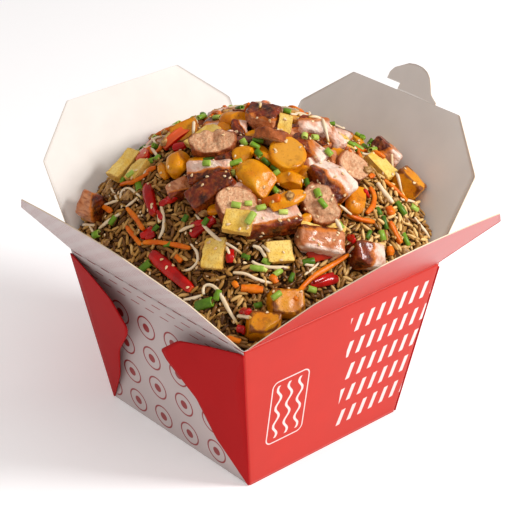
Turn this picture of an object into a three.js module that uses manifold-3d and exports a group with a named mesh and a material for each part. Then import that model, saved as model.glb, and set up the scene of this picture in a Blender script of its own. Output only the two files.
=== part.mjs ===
// Open takeaway carton heaped with fried rice, millimetres, +Z up.
// Origin: middle of the underside of the base. Front panel -Y, patterned side -X.
import * as THREE from 'three';
import { mergeVertices } from 'three/addons/utils/BufferGeometryUtils.js';
import Module from 'manifold-3d';

const wasm = await Module();
wasm.setup();

// ---- driving dimensions ----
const CARD = 0.6; // thickness of the board
const GAP = 0.35; // clearance between pieces that touch
const HEIGHT = 102; // base to rim
const RIM = { x: 75, y: 77.5 }; // half sizes at the rim
const BASE = { x: 58, y: 62.5 }; // half sizes at the base
const CREASE_RISE = 0.4; // crease line above the rim
const FLAP_START = 0.8; // first card above the crease line
const CORNER_RELIEF = 3; // crease stops this far short of each corner

// Lean is measured outwards from upright. Widths are how far the edge draws in from the corner.
const FLAPS = {
  front: { lean: 43.9, shoulder: 56, shoulderIn: 4.5, top: 86, topIn: 30.5, skew: 9 },
  back: { lean: 30.4, shoulder: 53, shoulderIn: 3.5, top: 82, topIn: 33, skew: 0 },
  left: { lean: 40.2, shoulder: 52, shoulderIn: 3.5, top: 81, topIn: 33, skew: 0 },
  right: { lean: 34.4, shoulder: 53, shoulderIn: 3.5, top: 82, topIn: 33, skew: 0 },
};

// Locking tongue on the right flap: along the crease, and above the flap's top edge.
const TAB = {
  to: 6.5,
  clearance: 1,
  outline: [
    [6.5, 3], [17.5, 3.6], [17.8, 7], [15.7, 11], [12.5, 12.8], [6.5, 16.5],
    [1, 17.4], [-4.5, 17], [-9, 15.4], [-12.7, 12.6], [-16, 8.2], [-19, 3.6], [-25, 0],
  ],
};

// Folded corner gusset: its own plane turns about the corner edge and stands off the side wall.
const GUSSET = {
  standOff: { left: 10, right: 3 }, // degrees
  thick: 2 * CARD,
  bury: 0.4,
  floor: { half: 99, depth: 9 }, // block that trims what would stick out below the base
  outline: [
    [-0.4, 1], [1, 0.4], [12, 13], [22.5, 25], [35.5, 49], [56, 67.5],
    [59.5, 73.5], [46, 87.5], [25, 95], [-0.4, 102.8],
  ],
};

// Mound of rice: a dome with its crown behind the middle, lower at the near sides.
const HEAP = {
  crownX: 20, crownY: 18, edge: 99, rise: 71, power: 2.2,
  reachLeft: 96, reachRight: 106, reachFront: 95, reachBack: 112,
  lump: 0.9, lumpX: 8.5, lumpY: 7.3, cell: 7, sheet: 112,
};

// Room for the food above the rim: how far it may lean out under each flap, and its height.
const ROOM = { front: 0, back: 30.4, left: 0, right: 34.4, height: 100 };

const COLOURS = {
  red: 0xc8382f, inner: 0xf2f0ec, rice: 0xa98756, pork: 0x8f4a2a,
  sausage: 0xcf9275, plantain: 0xe6a11f, egg: 0xf0cf57, pepper: 0xb8201c,
};

// ---- solids from closed meshes ----
function positionsOnly(geometry) {
  const bare = geometry.clone();
  for (const name of Object.keys(bare.attributes)) {
    if (name !== 'position') bare.deleteAttribute(name);
  }
  return mergeVertices(bare, 1e-4);
}

function toSolid(geometry) {
  const merged = positionsOnly(geometry);
  return new wasm.Manifold(new wasm.Mesh({
    numProp: 3,
    vertProperties: new Float32Array(merged.attributes.position.array),
    triVerts: new Uint32Array(merged.index.array),
  }));
}

function toGeometry(solid) {
  const mesh = solid.getMesh();
  const geometry = new THREE.BufferGeometry();
  geometry.setAttribute('position', new THREE.BufferAttribute(mesh.vertProperties, 3));
  geometry.setIndex(new THREE.BufferAttribute(mesh.triVerts, 1));
  geometry.computeVertexNormals();
  return geometry;
}

function largestPiece(solid) {
  const pieces = solid.decompose();
  return pieces.reduce((best, piece) => (piece.volume() > best.volume() ? piece : best));
}

// Walls between rings that all have the same number of points, with a flat cap at each end.
function loft(rings) {
  const count = rings[0].length;
  const points = rings.flat(2);
  const index = [];
  for (let r = 0; r < rings.length - 1; r += 1) {
    for (let i = 0; i < count; i += 1) {
      const a = r * count + i;
      const b = r * count + ((i + 1) % count);
      index.push(a, b, b + count, a, b + count, a + count);
    }
  }
  const top = (rings.length - 1) * count;
  for (let i = 1; i < count - 1; i += 1) {
    index.push(0, i + 1, i, top, top + i, top + i + 1);
  }
  const geometry = new THREE.BufferGeometry();
  geometry.setAttribute('position', new THREE.Float32BufferAttribute(points, 3));
  geometry.setIndex(index);
  return geometry;
}

function rectangle(left, right, front, back, z) {
  return [[-left, -front, z], [right, -front, z], [right, back, z], [-left, back, z]];
}

// A ring of the carton's wall at a height, drawn in all round.
function wallRing(z, drawnIn) {
  const t = z / HEIGHT;
  const x = BASE.x + (RIM.x - BASE.x) * t - drawnIn;
  const y = BASE.y + (RIM.y - BASE.y) * t - drawnIn;
  return rectangle(x, x, y, y, z);
}

function extrudeOutline(points, depth) {
  const shape = new THREE.Shape(points.map(([x, y]) => new THREE.Vector2(x, y)));
  return new THREE.ExtrudeGeometry(shape, { depth, bevelEnabled: false });
}

// ---- carton: base, four tapered walls and four folded gussets from one sheet ----
function gussetPlate(sideX, sideY) {
  const low = new THREE.Vector3(sideX * BASE.x, sideY * BASE.y, 0);
  const high = new THREE.Vector3(sideX * RIM.x, sideY * RIM.y, HEIGHT);
  const edge = high.clone().sub(low).normalize();
  const across = new THREE.Vector3(0, -sideY, 0);
  across.addScaledVector(edge, -across.dot(edge)).normalize();
  const outward = new THREE.Vector3().crossVectors(across, edge);
  const facing = Math.sign(outward.x) * sideX;
  outward.multiplyScalar(facing);
  const { left, right } = GUSSET.standOff;
  const turn = THREE.MathUtils.degToRad(sideX < 0 ? left : right);
  across.multiplyScalar(Math.cos(turn)).addScaledVector(outward, Math.sin(turn));
  const normal = new THREE.Vector3().crossVectors(across, edge);
  const plate = extrudeOutline(GUSSET.outline, GUSSET.thick);
  plate.translate(0, 0, facing > 0 ? -GUSSET.bury : GUSSET.bury - GUSSET.thick);
  plate.applyMatrix4(new THREE.Matrix4().makeBasis(across, edge, normal).setPosition(low));
  return plate;
}

function carton() {
  const outer = toSolid(loft([wallRing(0, 0), wallRing(HEIGHT, 0)]));
  const hollow = toSolid(loft([wallRing(CARD, CARD), wallRing(HEIGHT + 1, CARD)]));
  let shell = outer.subtract(hollow);
  const { half, depth } = GUSSET.floor;
  const below = toSolid(loft([
    rectangle(half, half, half, half, -depth), rectangle(half, half, half, half, 0),
  ]));
  for (const sideX of [-1, 1]) {
    for (const sideY of [-1, 1]) {
      const plate = toSolid(gussetPlate(sideX, sideY)).subtract(hollow).subtract(below);
      shell = shell.add(largestPiece(plate));
    }
  }
  return toGeometry(shell);
}

// ---- flaps ----
function flapOutline(halfLength, { shoulder, shoulderIn, top, topIn, skew }) {
  const root = halfLength - CORNER_RELIEF;
  const wide = halfLength - shoulderIn;
  const crown = halfLength - topIn;
  return [
    [-root, FLAP_START], [root, FLAP_START], [wide + skew, shoulder],
    [crown + skew, top], [-crown + skew, top], [-wide + skew, shoulder],
  ];
}

// Card plate standing on its crease: X along the crease, Z away from it.
function cardPlate(outline) {
  const plate = extrudeOutline(outline, CARD);
  plate.rotateX(Math.PI / 2);
  plate.translate(0, CARD / 2, 0);
  return plate;
}

function addMesh(parent, name, geometry, colour, roughness = 0.75) {
  const material = new THREE.MeshStandardMaterial({ color: colour, roughness, metalness: 0 });
  const mesh = new THREE.Mesh(geometry, material);
  mesh.name = name;
  parent.add(mesh);
  return mesh;
}

function flapGroup(side) {
  const lean = THREE.MathUtils.degToRad(FLAPS[side].lean);
  const group = new THREE.Group();
  const z = HEIGHT + CREASE_RISE;
  const places = {
    front: [0, -RIM.y, z], back: [0, RIM.y, z], left: [-RIM.x, 0, z], right: [RIM.x, 0, z],
  };
  group.position.set(...places[side]);
  if (side === 'front' || side === 'back') group.rotation.x = side === 'front' ? lean : -lean;
  else group.rotation.y = side === 'right' ? lean : -lean;
  return group;
}

function addFlap(parent, side) {
  const acrossX = side === 'front' || side === 'back';
  const halfLength = acrossX ? RIM.x : RIM.y;
  const group = flapGroup(side);
  const plate = addMesh(group, `flap_${side}`, cardPlate(flapOutline(halfLength, FLAPS[side])),
    COLOURS.inner);
  if (!acrossX) plate.rotation.z = Math.PI / 2;
  parent.add(group);
  return group;
}

function addHookTab(flap) {
  const seat = FLAPS.right.top + TAB.clearance;
  const outline = [[TAB.to, 0], ...TAB.outline].map(([along, up]) => [along, seat + up]);
  const tab = addMesh(flap, 'hook_tab', cardPlate(outline), COLOURS.inner);
  tab.rotation.z = Math.PI / 2;
}

// ---- mound of rice ----
function shoulderOf(value, crown, reachLow, reachHigh) {
  const t = value < crown ? (crown - value) / reachLow : (value - crown) / reachHigh;
  return Math.max(0, 1 - t ** HEAP.power);
}

function heapHeight(x, y) {
  const acrossX = shoulderOf(x, HEAP.crownX, HEAP.reachLeft, HEAP.reachRight);
  const acrossY = shoulderOf(y, HEAP.crownY, HEAP.reachFront, HEAP.reachBack);
  return HEAP.edge + HEAP.rise * acrossX * acrossY;
}

function heapNormal(x, y) {
  const step = 0.5;
  const slopeX = (heapHeight(x + step, y) - heapHeight(x - step, y)) / (2 * step);
  const slopeY = (heapHeight(x, y + step) - heapHeight(x, y - step)) / (2 * step);
  return new THREE.Vector3(-slopeX, -slopeY, 1).normalize();
}

// Space inside the walls and between the leaning flaps, up to a level above any food.
function funnel() {
  const inset = CARD + GAP;
  const clear = CARD / 2 + 2 * GAP;
  const reach = (half, lean, above) => {
    const angle = THREE.MathUtils.degToRad(lean);
    return half + (above - CREASE_RISE) * Math.tan(angle) - clear / Math.cos(angle);
  };
  const between = (above) => rectangle(
    reach(RIM.x, ROOM.left, above), reach(RIM.x, ROOM.right, above),
    reach(RIM.y, ROOM.front, above), reach(RIM.y, ROOM.back, above), HEIGHT + above,
  );
  return toSolid(loft([wallRing(inset, inset), between(0), between(ROOM.height)]));
}

function moundUnder() {
  const side = 2 * HEAP.sheet;
  const steps = Math.round(side / HEAP.cell);
  const sheet = new THREE.BoxGeometry(side, side, 1, steps, steps, 1);
  const place = sheet.attributes.position;
  for (let i = 0; i < place.count; i += 1) {
    const x = place.getX(i);
    const y = place.getY(i);
    const lump = HEAP.lump * Math.sin(x / HEAP.lumpX + 1) * Math.cos(y / HEAP.lumpY);
    place.setZ(i, place.getZ(i) > 0 ? heapHeight(x, y) + lump : -1);
  }
  return toSolid(sheet);
}

// ---- shapes of the toppings, each about its own middle ----
// Rounded block or bean: power 2 is an ellipsoid, high powers are square.
function chunk([length, width, height], { power, segments = 2, round = false, seed = 0, lump = 0 }) {
  const ball = round ? new THREE.IcosahedronGeometry(1, 1)
    : new THREE.BoxGeometry(2, 2, 2, segments, segments, segments);
  const place = ball.attributes.position;
  const v = new THREE.Vector3();
  for (let i = 0; i < place.count; i += 1) {
    v.fromBufferAttribute(place, i);
    const norm = (Math.abs(v.x) ** power + Math.abs(v.y) ** power + Math.abs(v.z) ** power)
      ** (1 / power);
    v.divideScalar(norm);
    const swell = 1 + lump * Math.sin(3 * v.x + 2 * seed) * Math.cos(2.6 * v.y + seed + v.z);
    place.setXYZ(i, v.x * swell * length / 2, v.y * swell * width / 2, v.z * swell * height / 2);
  }
  return ball;
}

// Round cut across a sausage; the two faces may be oval.
function slice([length, width, thick]) {
  const disc = new THREE.CylinderGeometry(1, 1, 1, 14, 1);
  disc.rotateX(Math.PI / 2);
  disc.scale(length / 2, width / 2, thick);
  return disc;
}

// Strip cut from a pod: curled along its length and drawn in at both ends.
function strip([length, width, thick], { curl = 0, taper = 0.4 }) {
  const bar = new THREE.BoxGeometry(1, 1, 1, 6, 1, 1);
  const place = bar.attributes.position;
  for (let i = 0; i < place.count; i += 1) {
    const t = place.getX(i);
    const narrow = 1 - taper * (2 * t) ** 2;
    const z = place.getZ(i) * thick + curl * (0.25 - t * t) * 4;
    place.setXYZ(i, t * length, place.getY(i) * width * narrow, z - curl / 2);
  }
  return bar;
}

// What each shape is cut from, and how it is made from its size, a seed and a curl.
const SHAPES = {
  pork: { kind: 'pork', make: (size, seed) => chunk(size, { power: 6, lump: 0.06, seed }) },
  sausage: { kind: 'sausage', make: (size) => slice(size) },
  bean: {
    kind: 'plantain',
    make: (size, seed) => chunk(size, { power: 2.8, round: true, lump: 0.05, seed }),
  },
  block: { kind: 'plantain', make: (size, seed) => chunk(size, { power: 7, lump: 0.04, seed }) },
  egg: { kind: 'egg', make: (size, seed) => chunk(size, { power: 8, lump: 0.04, seed }) },
  pepper: { kind: 'pepper', make: (size, seed, curl) => strip(size, { curl }) },
};

// Toppings, upper ones first: place on the plan, height of the middle over the rice, then
// three turns in degrees: about the slope's upright, then end up, then roll.
// [shape, x, y, lift, turn, pitch, roll, [length, width, height], curl]
const TOPPINGS = [
  ['pork', 23, 18, 5, -60, 0, 10, [17, 14, 14]],
  ['pork', 42, -1, 4, -31, 0, 15, [18, 11, 12]],
  ['pork', 49, -11, 3, -86, 0, 0, [13, 9, 10]],
  ['pork', 28, -14, 3, -79, 0, 0, [21, 10, 8]],
  ['pork', 24, -34, 5, -82, 0, 0, [23, 17, 14]],
  ['pork', 83, -17, 6, -66, 0, 0, [17, 12, 12]],
  ['pork', -19, -36, 4, -18, 0, -12, [28, 13, 11]],
  ['pork', -1, -53, 4, -31, 0, 0, [24, 13, 12]],
  ['pork', -23, 8, 4, -44, 0, 10, [22, 13, 11]],
  ['pork', -30, -1, 4, -14, 0, 0, [25, 13, 11]],
  ['pork', -56, 74, 5, 0, 0, 10, [14, 12, 12]],
  ['pork', 24, -64.5, 4, -21, 0, 0, [18, 13, 12]],
  ['pork', -36, 20, 2.5, -20, 0, 0, [13, 9, 8]],
  ['sausage', 13, 0, 6, 40, 50, 0, [20, 18, 6]],
  ['sausage', 44, -30, 4.5, -41, 0, 15, [18, 16, 7]],
  ['sausage', 10, -42, 4, -90, 0, 20, [22, 17, 9]],
  ['sausage', -28, -20, 4.5, -50, 20, 0, [22, 19, 12]],
  ['sausage', -10, 19, 4.5, -46, 10, 15, [24, 15, 10]],
  ['bean', 11, -14, 4.5, 50, 0, 0, [22, 19, 9]],
  ['bean', -11, -16, 4.5, -86, 0, 0, [25, 16, 11]],
  ['bean', -5, 1, 4, -26, 0, 0, [13, 9, 8]],
  ['bean', 4, -26, 4, -46, 0, 0, [17, 9, 8]],
  ['bean', 0, -8, 4.5, -76, 0, 0, [10, 6, 6]],
  ['bean', 36, -44, 3.5, 42, 0, 0, [19, 10, 8]],
  ['bean', -8, -34, 11, -2, 0, 0, [20, 9, 5]],
  ['bean', 13, 31, 4, -56, 0, 0, [16, 11, 9]],
  ['bean', -27, 31, 4.5, 34, 0, 0, [15, 12, 11]],
  ['bean', -32, 39, 2.5, 54, 0, 0, [12, 5, 8]],
  ['block', 83, -38, 3.5, -76, 0, 0, [16, 12, 12]],
  ['block', -36, -66, 2.5, -26, 0, 0, [17, 13, 10]],
  ['block', -54.5, -69, 2.5, -36, 0, 0, [16, 12, 11]],
  ['block', -5, 52, 4, -36, 0, 50, [15, 10, 3.5]],
  ['egg', 26, 4, 6, 44, -40, 0, [13, 7, 3]],
  ['egg', 73, -27, 3, -77, 0, 10, [17, 11, 4]],
  ['egg', -33, -27, 11, -50, 0, 0, [14, 12, 4]],
  ['egg', -3, -47, 4, -41, 0, 0, [16, 5, 4]],
  ['egg', 13, -51, 2.5, -50, 0, 0, [12, 6, 4]],
  ['egg', -7, 34, 3.5, -6, 0, 0, [18, 10, 4]],
  ['egg', -32, 74, 4, -6, 0, 20, [19, 9, 8]],
  ['egg', -34, 61, 2, 0, 0, 0, [13, 10, 5]],
  ['egg', -49, -24, 2, 38, 0, 0, [16, 11, 4]],
  ['egg', -24, -48, 2, -21, 0, 0, [13, 11, 4]],
  ['pepper', -64, -5, 2, 84, 0, 0, [35, 7.5, 3.5], 1],
  ['pepper', -45, 37, 2, 52, 0, 0, [20, 7, 3], 2],
  ['pepper', -9, 53, 3, -16, 0, 30, [20, 5, 3], 3],
  ['pepper', -16, 44, 3, -66, 0, 0, [8, 5, 2.5], 0],
  ['pepper', -23, 67, 3, 19, 0, 0, [11, 8, 3], 1],
  ['pepper', -44, -8, 1.5, -17, 0, 0, [15, 5, 3], 1],
  ['pepper', -57, 25, 1.5, -41, 0, 0, [8, 5, 2.5], 0],
  ['pepper', 2, -57, 2, 0, 0, 0, [21, 9, 3], 3],
  ['pepper', -7, -66, 1.5, -11, 0, 0, [17, 5, 2.5], 1],
];

function toppingMatrix(x, y, lift, turn, pitch, roll) {
  const up = heapNormal(x, y);
  const along = new THREE.Vector3(1, 0, 0).addScaledVector(up, -up.x).normalize();
  const across = new THREE.Vector3().crossVectors(up, along);
  const slope = new THREE.Matrix4().makeBasis(along, across, up);
  const [rz, ry, rx] = [turn, pitch, roll].map(THREE.MathUtils.degToRad);
  const turns = new THREE.Matrix4().makeRotationFromEuler(new THREE.Euler(rx, ry, rz, 'ZYX'));
  const middle = new THREE.Vector3(x, y, heapHeight(x, y)).addScaledVector(up, lift);
  return slope.multiply(turns).setPosition(middle);
}

function toppingSolid([shape, x, y, lift, turn, pitch, roll, size, curl], seed, grow) {
  const grown = size.map((side) => side + 2 * grow);
  const geometry = SHAPES[shape].make(grown, seed, curl);
  geometry.applyMatrix4(toppingMatrix(x, y, lift, turn, pitch, roll));
  return toSolid(geometry);
}

// Each topping gives way to those that lie over it, and the rice gives way to them all.
function addFood(parent) {
  const counts = {};
  let rice = moundUnder().intersect(funnel());
  const room = funnel();
  const above = [];
  TOPPINGS.forEach((row, seed) => {
    let solid = toppingSolid(row, seed, 0).intersect(room);
    for (const other of above) solid = solid.subtract(other);
    const grown = toppingSolid(row, seed, GAP);
    above.push(grown);
    rice = rice.subtract(grown);
    const { kind } = SHAPES[row[0]];
    counts[kind] = (counts[kind] ?? 0) + 1;
    const name = `${kind}_${String(counts[kind]).padStart(2, '0')}`;
    addMesh(parent, name, toGeometry(largestPiece(solid)), COLOURS[kind], 0.45);
  });
  addMesh(parent, 'rice', toGeometry(largestPiece(rice)), COLOURS.rice, 0.6);
}

const box = new THREE.Group();
addMesh(box, 'carton', carton(), COLOURS.red);
addFlap(box, 'front');
addFlap(box, 'back');
addFlap(box, 'left');
addHookTab(addFlap(box, 'right'));
addFood(box);

export default box;
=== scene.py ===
import bpy
import numpy as np
from mathutils import Matrix, Vector
from mathutils.bvhtree import BVHTree


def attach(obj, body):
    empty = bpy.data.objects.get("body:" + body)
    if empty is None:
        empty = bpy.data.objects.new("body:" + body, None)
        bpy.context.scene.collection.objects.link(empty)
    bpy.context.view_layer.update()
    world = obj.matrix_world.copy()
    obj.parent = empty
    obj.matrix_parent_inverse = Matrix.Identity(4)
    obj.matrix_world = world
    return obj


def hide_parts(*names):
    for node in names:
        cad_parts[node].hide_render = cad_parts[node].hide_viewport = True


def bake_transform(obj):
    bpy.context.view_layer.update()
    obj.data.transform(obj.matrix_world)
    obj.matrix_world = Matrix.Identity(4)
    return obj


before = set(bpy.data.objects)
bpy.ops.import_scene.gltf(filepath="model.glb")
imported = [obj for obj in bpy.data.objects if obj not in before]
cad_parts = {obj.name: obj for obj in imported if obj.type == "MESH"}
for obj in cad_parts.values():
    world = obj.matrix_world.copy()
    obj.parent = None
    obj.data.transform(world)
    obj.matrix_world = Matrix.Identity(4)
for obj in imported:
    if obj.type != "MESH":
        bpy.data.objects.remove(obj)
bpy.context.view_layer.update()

# ---- Viewpoint and studio ----
# A long lens looks down on the near left corner. A large soft lamp on the right lights the red
# front and the white back flap, and a weak wide one overhead fills the shaded patterned side.
MM = 0.001
VIEW_TURN, VIEW_RISE = np.radians(-41.4), np.radians(28.3)
VIEW_DISTANCE = 1058.5
LENS, FILM = 128.2, 36.0
IMAGE_SIDE = 512
AIM = np.array([0.0, 0.0, 101.7])
AIM_SHIFT = 1.4

NEAR = np.array([np.sin(VIEW_TURN) * np.cos(VIEW_RISE), -np.cos(VIEW_TURN) * np.cos(VIEW_RISE),
                 np.sin(VIEW_RISE)])
RIGHT = np.array([np.cos(VIEW_TURN), np.sin(VIEW_TURN), 0.0])
UP = np.cross(NEAR, RIGHT)
EYE = AIM + RIGHT * AIM_SHIFT + NEAR * VIEW_DISTANCE


def paint(red, green, blue):
    """A colour as it is seen, 0 to 255, turned into the linear values that a shader takes."""
    shown = np.array([red, green, blue]) / 255
    linear = np.where(shown <= 0.04045, shown / 12.92, ((shown + 0.055) / 1.055) ** 2.4)
    return (*linear, 1.0)


def aimed(at, toward):
    """Matrix of a lamp or camera at a point, in mm, whose back points along toward."""
    back = Vector(toward).normalized()
    right = Vector((0, 0, 1)).cross(back).normalized()
    turn = Matrix((right, back.cross(right), back)).transposed().to_4x4()
    return Matrix.Translation(Vector(at) * MM) @ turn


camera = bpy.data.objects.new("viewpoint", bpy.data.cameras.new("viewpoint"))
camera.data.lens = LENS
camera.data.sensor_width = FILM
camera.data.clip_start = 0.05
camera.data.clip_end = 30.0
camera.matrix_world = aimed(EYE, NEAR)
bpy.context.scene.collection.objects.link(camera)
bpy.context.scene.camera = camera
bpy.context.scene.view_settings.view_transform = "Standard"

SKY = (0.66, 0.615, 0.605, 1.0)
SKY_STRENGTH = 0.66
LAMPS = {
    "key": {"way": (0.54, -0.80, 0.64), "far": 1500, "side": 430, "watts": 20.5},
    "top": {"way": (-0.25, -0.35, 1.0), "far": 1500, "side": 900, "watts": 4.5},
}
sky = bpy.data.worlds.new("studio")
sky.use_nodes = True
sky.node_tree.nodes["Background"].inputs["Color"].default_value = SKY
sky.node_tree.nodes["Background"].inputs["Strength"].default_value = SKY_STRENGTH
bpy.context.scene.world = sky
for lamp_name, spec in LAMPS.items():
    lamp = bpy.data.lights.new(lamp_name, "AREA")
    lamp.shape = "SQUARE"
    lamp.size = spec["side"] * MM
    lamp.energy = spec["watts"]
    way = np.array(spec["way"]) / np.linalg.norm(spec["way"])
    holder = bpy.data.objects.new(lamp_name, lamp)
    holder.matrix_world = aimed(AIM + way * spec["far"], way)
    bpy.context.scene.collection.objects.link(holder)


# ---- Floor ----
# A pale matt sheet, wide enough to fill every view, just under the base of the carton.
FLOOR_HALF = 6000
FLOOR_DROP = 0.05
FLOOR_COLOUR = paint(250, 250, 250)
FLOOR_GLOW = 0.24


def surface(name, points, face_sets, masks=None, vectors=None, smooth=True):
    """Mesh object from points in mm and tables of corner numbers, one row for each face.

    masks holds one number for each point, and vectors three, which the materials read."""
    mesh = bpy.data.meshes.new(name)
    corners = np.concatenate([np.asarray(faces).ravel() for faces in face_sets])
    sides = np.concatenate([np.full(len(faces), len(faces[0])) for faces in face_sets])
    mesh.vertices.add(len(points))
    mesh.vertices.foreach_set("co", (np.asarray(points, float) * MM).ravel())
    mesh.loops.add(len(corners))
    mesh.polygons.add(len(sides))
    mesh.polygons.foreach_set("loop_start", np.concatenate([[0], np.cumsum(sides)[:-1]]))
    mesh.polygons.foreach_set("vertices", corners)
    mesh.polygons.foreach_set("use_smooth", np.full(len(sides), smooth))
    for mask, values in (masks or {}).items():
        mesh.attributes.new(mask, "FLOAT", "POINT").data.foreach_set("value", values)
    for vector, values in (vectors or {}).items():
        column = mesh.attributes.new(vector, "FLOAT_VECTOR", "POINT")
        column.data.foreach_set("vector", np.asarray(values, float).ravel())
    mesh.update()
    made = bpy.data.objects.new(name, mesh)
    bpy.context.scene.collection.objects.link(made)
    return made


def plug(tree, shader_node, inputs):
    """Sets a node's inputs, by name or number, to values, or links them to sockets."""
    for key, value in inputs.items():
        value = getattr(value, "socket", value)
        if isinstance(value, bpy.types.NodeSocket):
            tree.links.new(value, shader_node.inputs[key])
        else:
            shader_node.inputs[key].default_value = value


def node(tree, kind, inputs=None, **settings):
    """Adds a shader node. inputs maps a socket's name or number to a value or a socket."""
    made = tree.nodes.new(kind)
    for key, value in settings.items():
        setattr(made, key, value)
    plug(tree, made, inputs or {})
    return made


def new_finish(name, colour, roughness, **sockets):
    """A Principled material with plain starting values, its node tree and its shader."""
    material = bpy.data.materials.new(name)
    material.use_nodes = True
    tree = material.node_tree
    shader = tree.nodes["Principled BSDF"]
    plug(tree, shader, {"Base Color": colour, "Roughness": roughness})
    plug(tree, shader, {key.replace("_", " "): value for key, value in sockets.items()})
    return material, tree, shader


def object_place(tree):
    """Socket with each point's place on the object, in metres."""
    return node(tree, "ShaderNodeTexCoord").outputs["Object"]


floor_finish, _, _ = new_finish("pale floor", FLOOR_COLOUR, 0.9, Emission_Color=(1, 1, 1, 1),
                                Emission_Strength=FLOOR_GLOW)
floor_corners = np.array([[-1, -1], [1, -1], [1, 1], [-1, 1]]) * FLOOR_HALF
floor = surface("floor", np.c_[floor_corners, np.full(4, -FLOOR_DROP)], [[[0, 1, 2, 3]]])
floor.data.materials.append(floor_finish)


# ---- Finishes of the board ----
# Coated carton board: red ink or white coat outside, bare white inside, cream where it is
# cut. The ink has a soft gloss, and fine paper fibres lift both faces slightly.
RED_INK = paint(194, 42, 28)
# Painted shade: the white coat of the printed sides is painted a shaded grey, darker than the
# white card.
SHADED_WHITE_COAT = paint(202, 188, 185)
BARE_WHITE = paint(232, 226, 219)
CUT_CREAM = paint(226, 205, 176)
PRINT_RED = paint(150, 44, 44)
PRINT_WHITE = paint(232, 214, 210)
# Painted shade: a dark line along the crease where the flaps bend over the rim.
CREASE_SHADE_HEIGHT, CREASE_SHADE_HALF, CREASE_SHADE_DEPTH = 102.6, 0.3, 0.7
CLOUD_SHARE, CREASE_SHADE_SHARE = 0.93, 0.3


def new_group(name, inputs, outputs):
    """Empty node group with named sockets, and its input and output nodes."""
    tree = bpy.data.node_groups.new(name, "ShaderNodeTree")
    for socket, kind, value in inputs:
        made = tree.interface.new_socket(socket, in_out="INPUT", socket_type=kind)
        if value is not None:
            made.default_value = value
    for socket, kind in outputs:
        tree.interface.new_socket(socket, in_out="OUTPUT", socket_type=kind)
    return tree, tree.nodes.new("NodeGroupInput"), tree.nodes.new("NodeGroupOutput")


def use_group(tree, group, output, **inputs):
    """Places a group in a tree and returns one of its outputs."""
    made = node(tree, "ShaderNodeGroup", inputs, node_tree=group)
    return made.outputs[output]


class Wire:
    """A number that runs through a shader tree. It adds, subtracts, multiplies and divides
    like a plain number, and each step is one arithmetic node."""

    def __init__(self, tree, socket):
        self.tree, self.socket = tree, socket

    def step(self, work, *values):
        """One arithmetic node on the number and any further values."""
        inputs = dict(enumerate((self, *values)))
        return Wire(self.tree, node(self.tree, "ShaderNodeMath", inputs,
                                    operation=work).outputs[0])

    def __add__(self, other):
        return self.step("ADD", other)

    def __sub__(self, other):
        return self.step("SUBTRACT", other)

    def __mul__(self, other):
        return self.step("MULTIPLY", other)

    def __truediv__(self, other):
        return self.step("DIVIDE", other)

    def __pow__(self, power):
        return self.step("POWER", power)

    def __abs__(self):
        return self.step("ABSOLUTE")

    def ranged(self, low, high, to_low=0.0, to_high=1.0):
        """The number's share of the way from low to high, put between two other values."""
        return Wire(self.tree, node(self.tree, "ShaderNodeMapRange", {
            "Value": self, "From Min": low, "From Max": high, "To Min": to_low,
            "To Max": to_high}).outputs["Result"])

    def under(self, limit, blur=0.12):
        """1 where the number is under a limit, with an edge as soft as ink on board."""
        return self.ranged(limit + blur, limit - blur)


# Patches: noise cut off at a level, so that it covers about a given share of the surface.
patches, patch_in, patch_out = new_group("patches", [
    ("Vector", "NodeSocketVector", None), ("Scale", "NodeSocketFloat", 300.0),
    ("Level", "NodeSocketFloat", 0.5), ("Softness", "NodeSocketFloat", 0.08),
    ("Detail", "NodeSocketFloat", 3.0)], [("Mask", "NodeSocketFloat")])
patch_noise = node(patches, "ShaderNodeTexNoise", {
    key: patch_in.outputs[key] for key in ("Vector", "Scale", "Detail")})
level, softness = [Wire(patches, patch_in.outputs[key]) for key in ("Level", "Softness")]
patch_range = node(patches, "ShaderNodeMapRange", {
    "Value": patch_noise.outputs["Fac"], "From Min": level - softness,
    "From Max": level + softness}, interpolation_type="SMOOTHSTEP")
patches.links.new(patch_range.outputs["Result"], patch_out.inputs["Mask"])


def patchy(tree, place, scale, level=0.5, softness=0.3, detail=3.0):
    """Mask of patches: scale in patches a metre, level the noise at which they begin."""
    return Wire(tree, use_group(tree, patches, "Mask", Vector=place, Scale=scale, Level=level,
                                Softness=softness, Detail=detail))


# Fibres: two crossed stretched noises, as felted paper has.
fibres, fibre_in, fibre_out = new_group("paper fibres", [
    ("Vector", "NodeSocketVector", None), ("Scale", "NodeSocketFloat", 900.0)],
    [("Height", "NodeSocketFloat")])
fibre_parts = []
for stretch in ((1.0, 0.25, 1.0), (0.25, 1.0, 0.4)):
    drawn = node(fibres, "ShaderNodeMapping", {
        "Vector": fibre_in.outputs["Vector"], "Scale": stretch})
    fibre_parts.append(Wire(fibres, node(fibres, "ShaderNodeTexNoise", {
        "Vector": drawn.outputs["Vector"], "Scale": fibre_in.outputs["Scale"],
        "Detail": 2.0}).outputs["Fac"]))
plug(fibres, fibre_out, {"Height": fibre_parts[0] + fibre_parts[1]})


def mixed(tree, factor, first, second):
    """Colour socket between two colours or colour sockets."""
    return node(tree, "ShaderNodeMix", {0: factor, 6: first, 7: second},
                data_type="RGBA", clamp_factor=True).outputs[2]


def dressed(tree, shader, colour, height=None, distance=0.0, strength=1.0):
    """Gives a shader its colour, and raises its surface by a height, distance in mm."""
    plug(tree, shader, {"Base Color": colour})
    if height is not None:
        bump = node(tree, "ShaderNodeBump", {
            "Height": height, "Distance": distance * MM, "Strength": strength})
        plug(tree, shader, {"Normal": bump.outputs["Normal"]})


def mask_of(tree, name):
    """One of the piece's own numbers."""
    return Wire(tree, node(tree, "ShaderNodeAttribute", attribute_name=name).outputs["Fac"])


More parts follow.
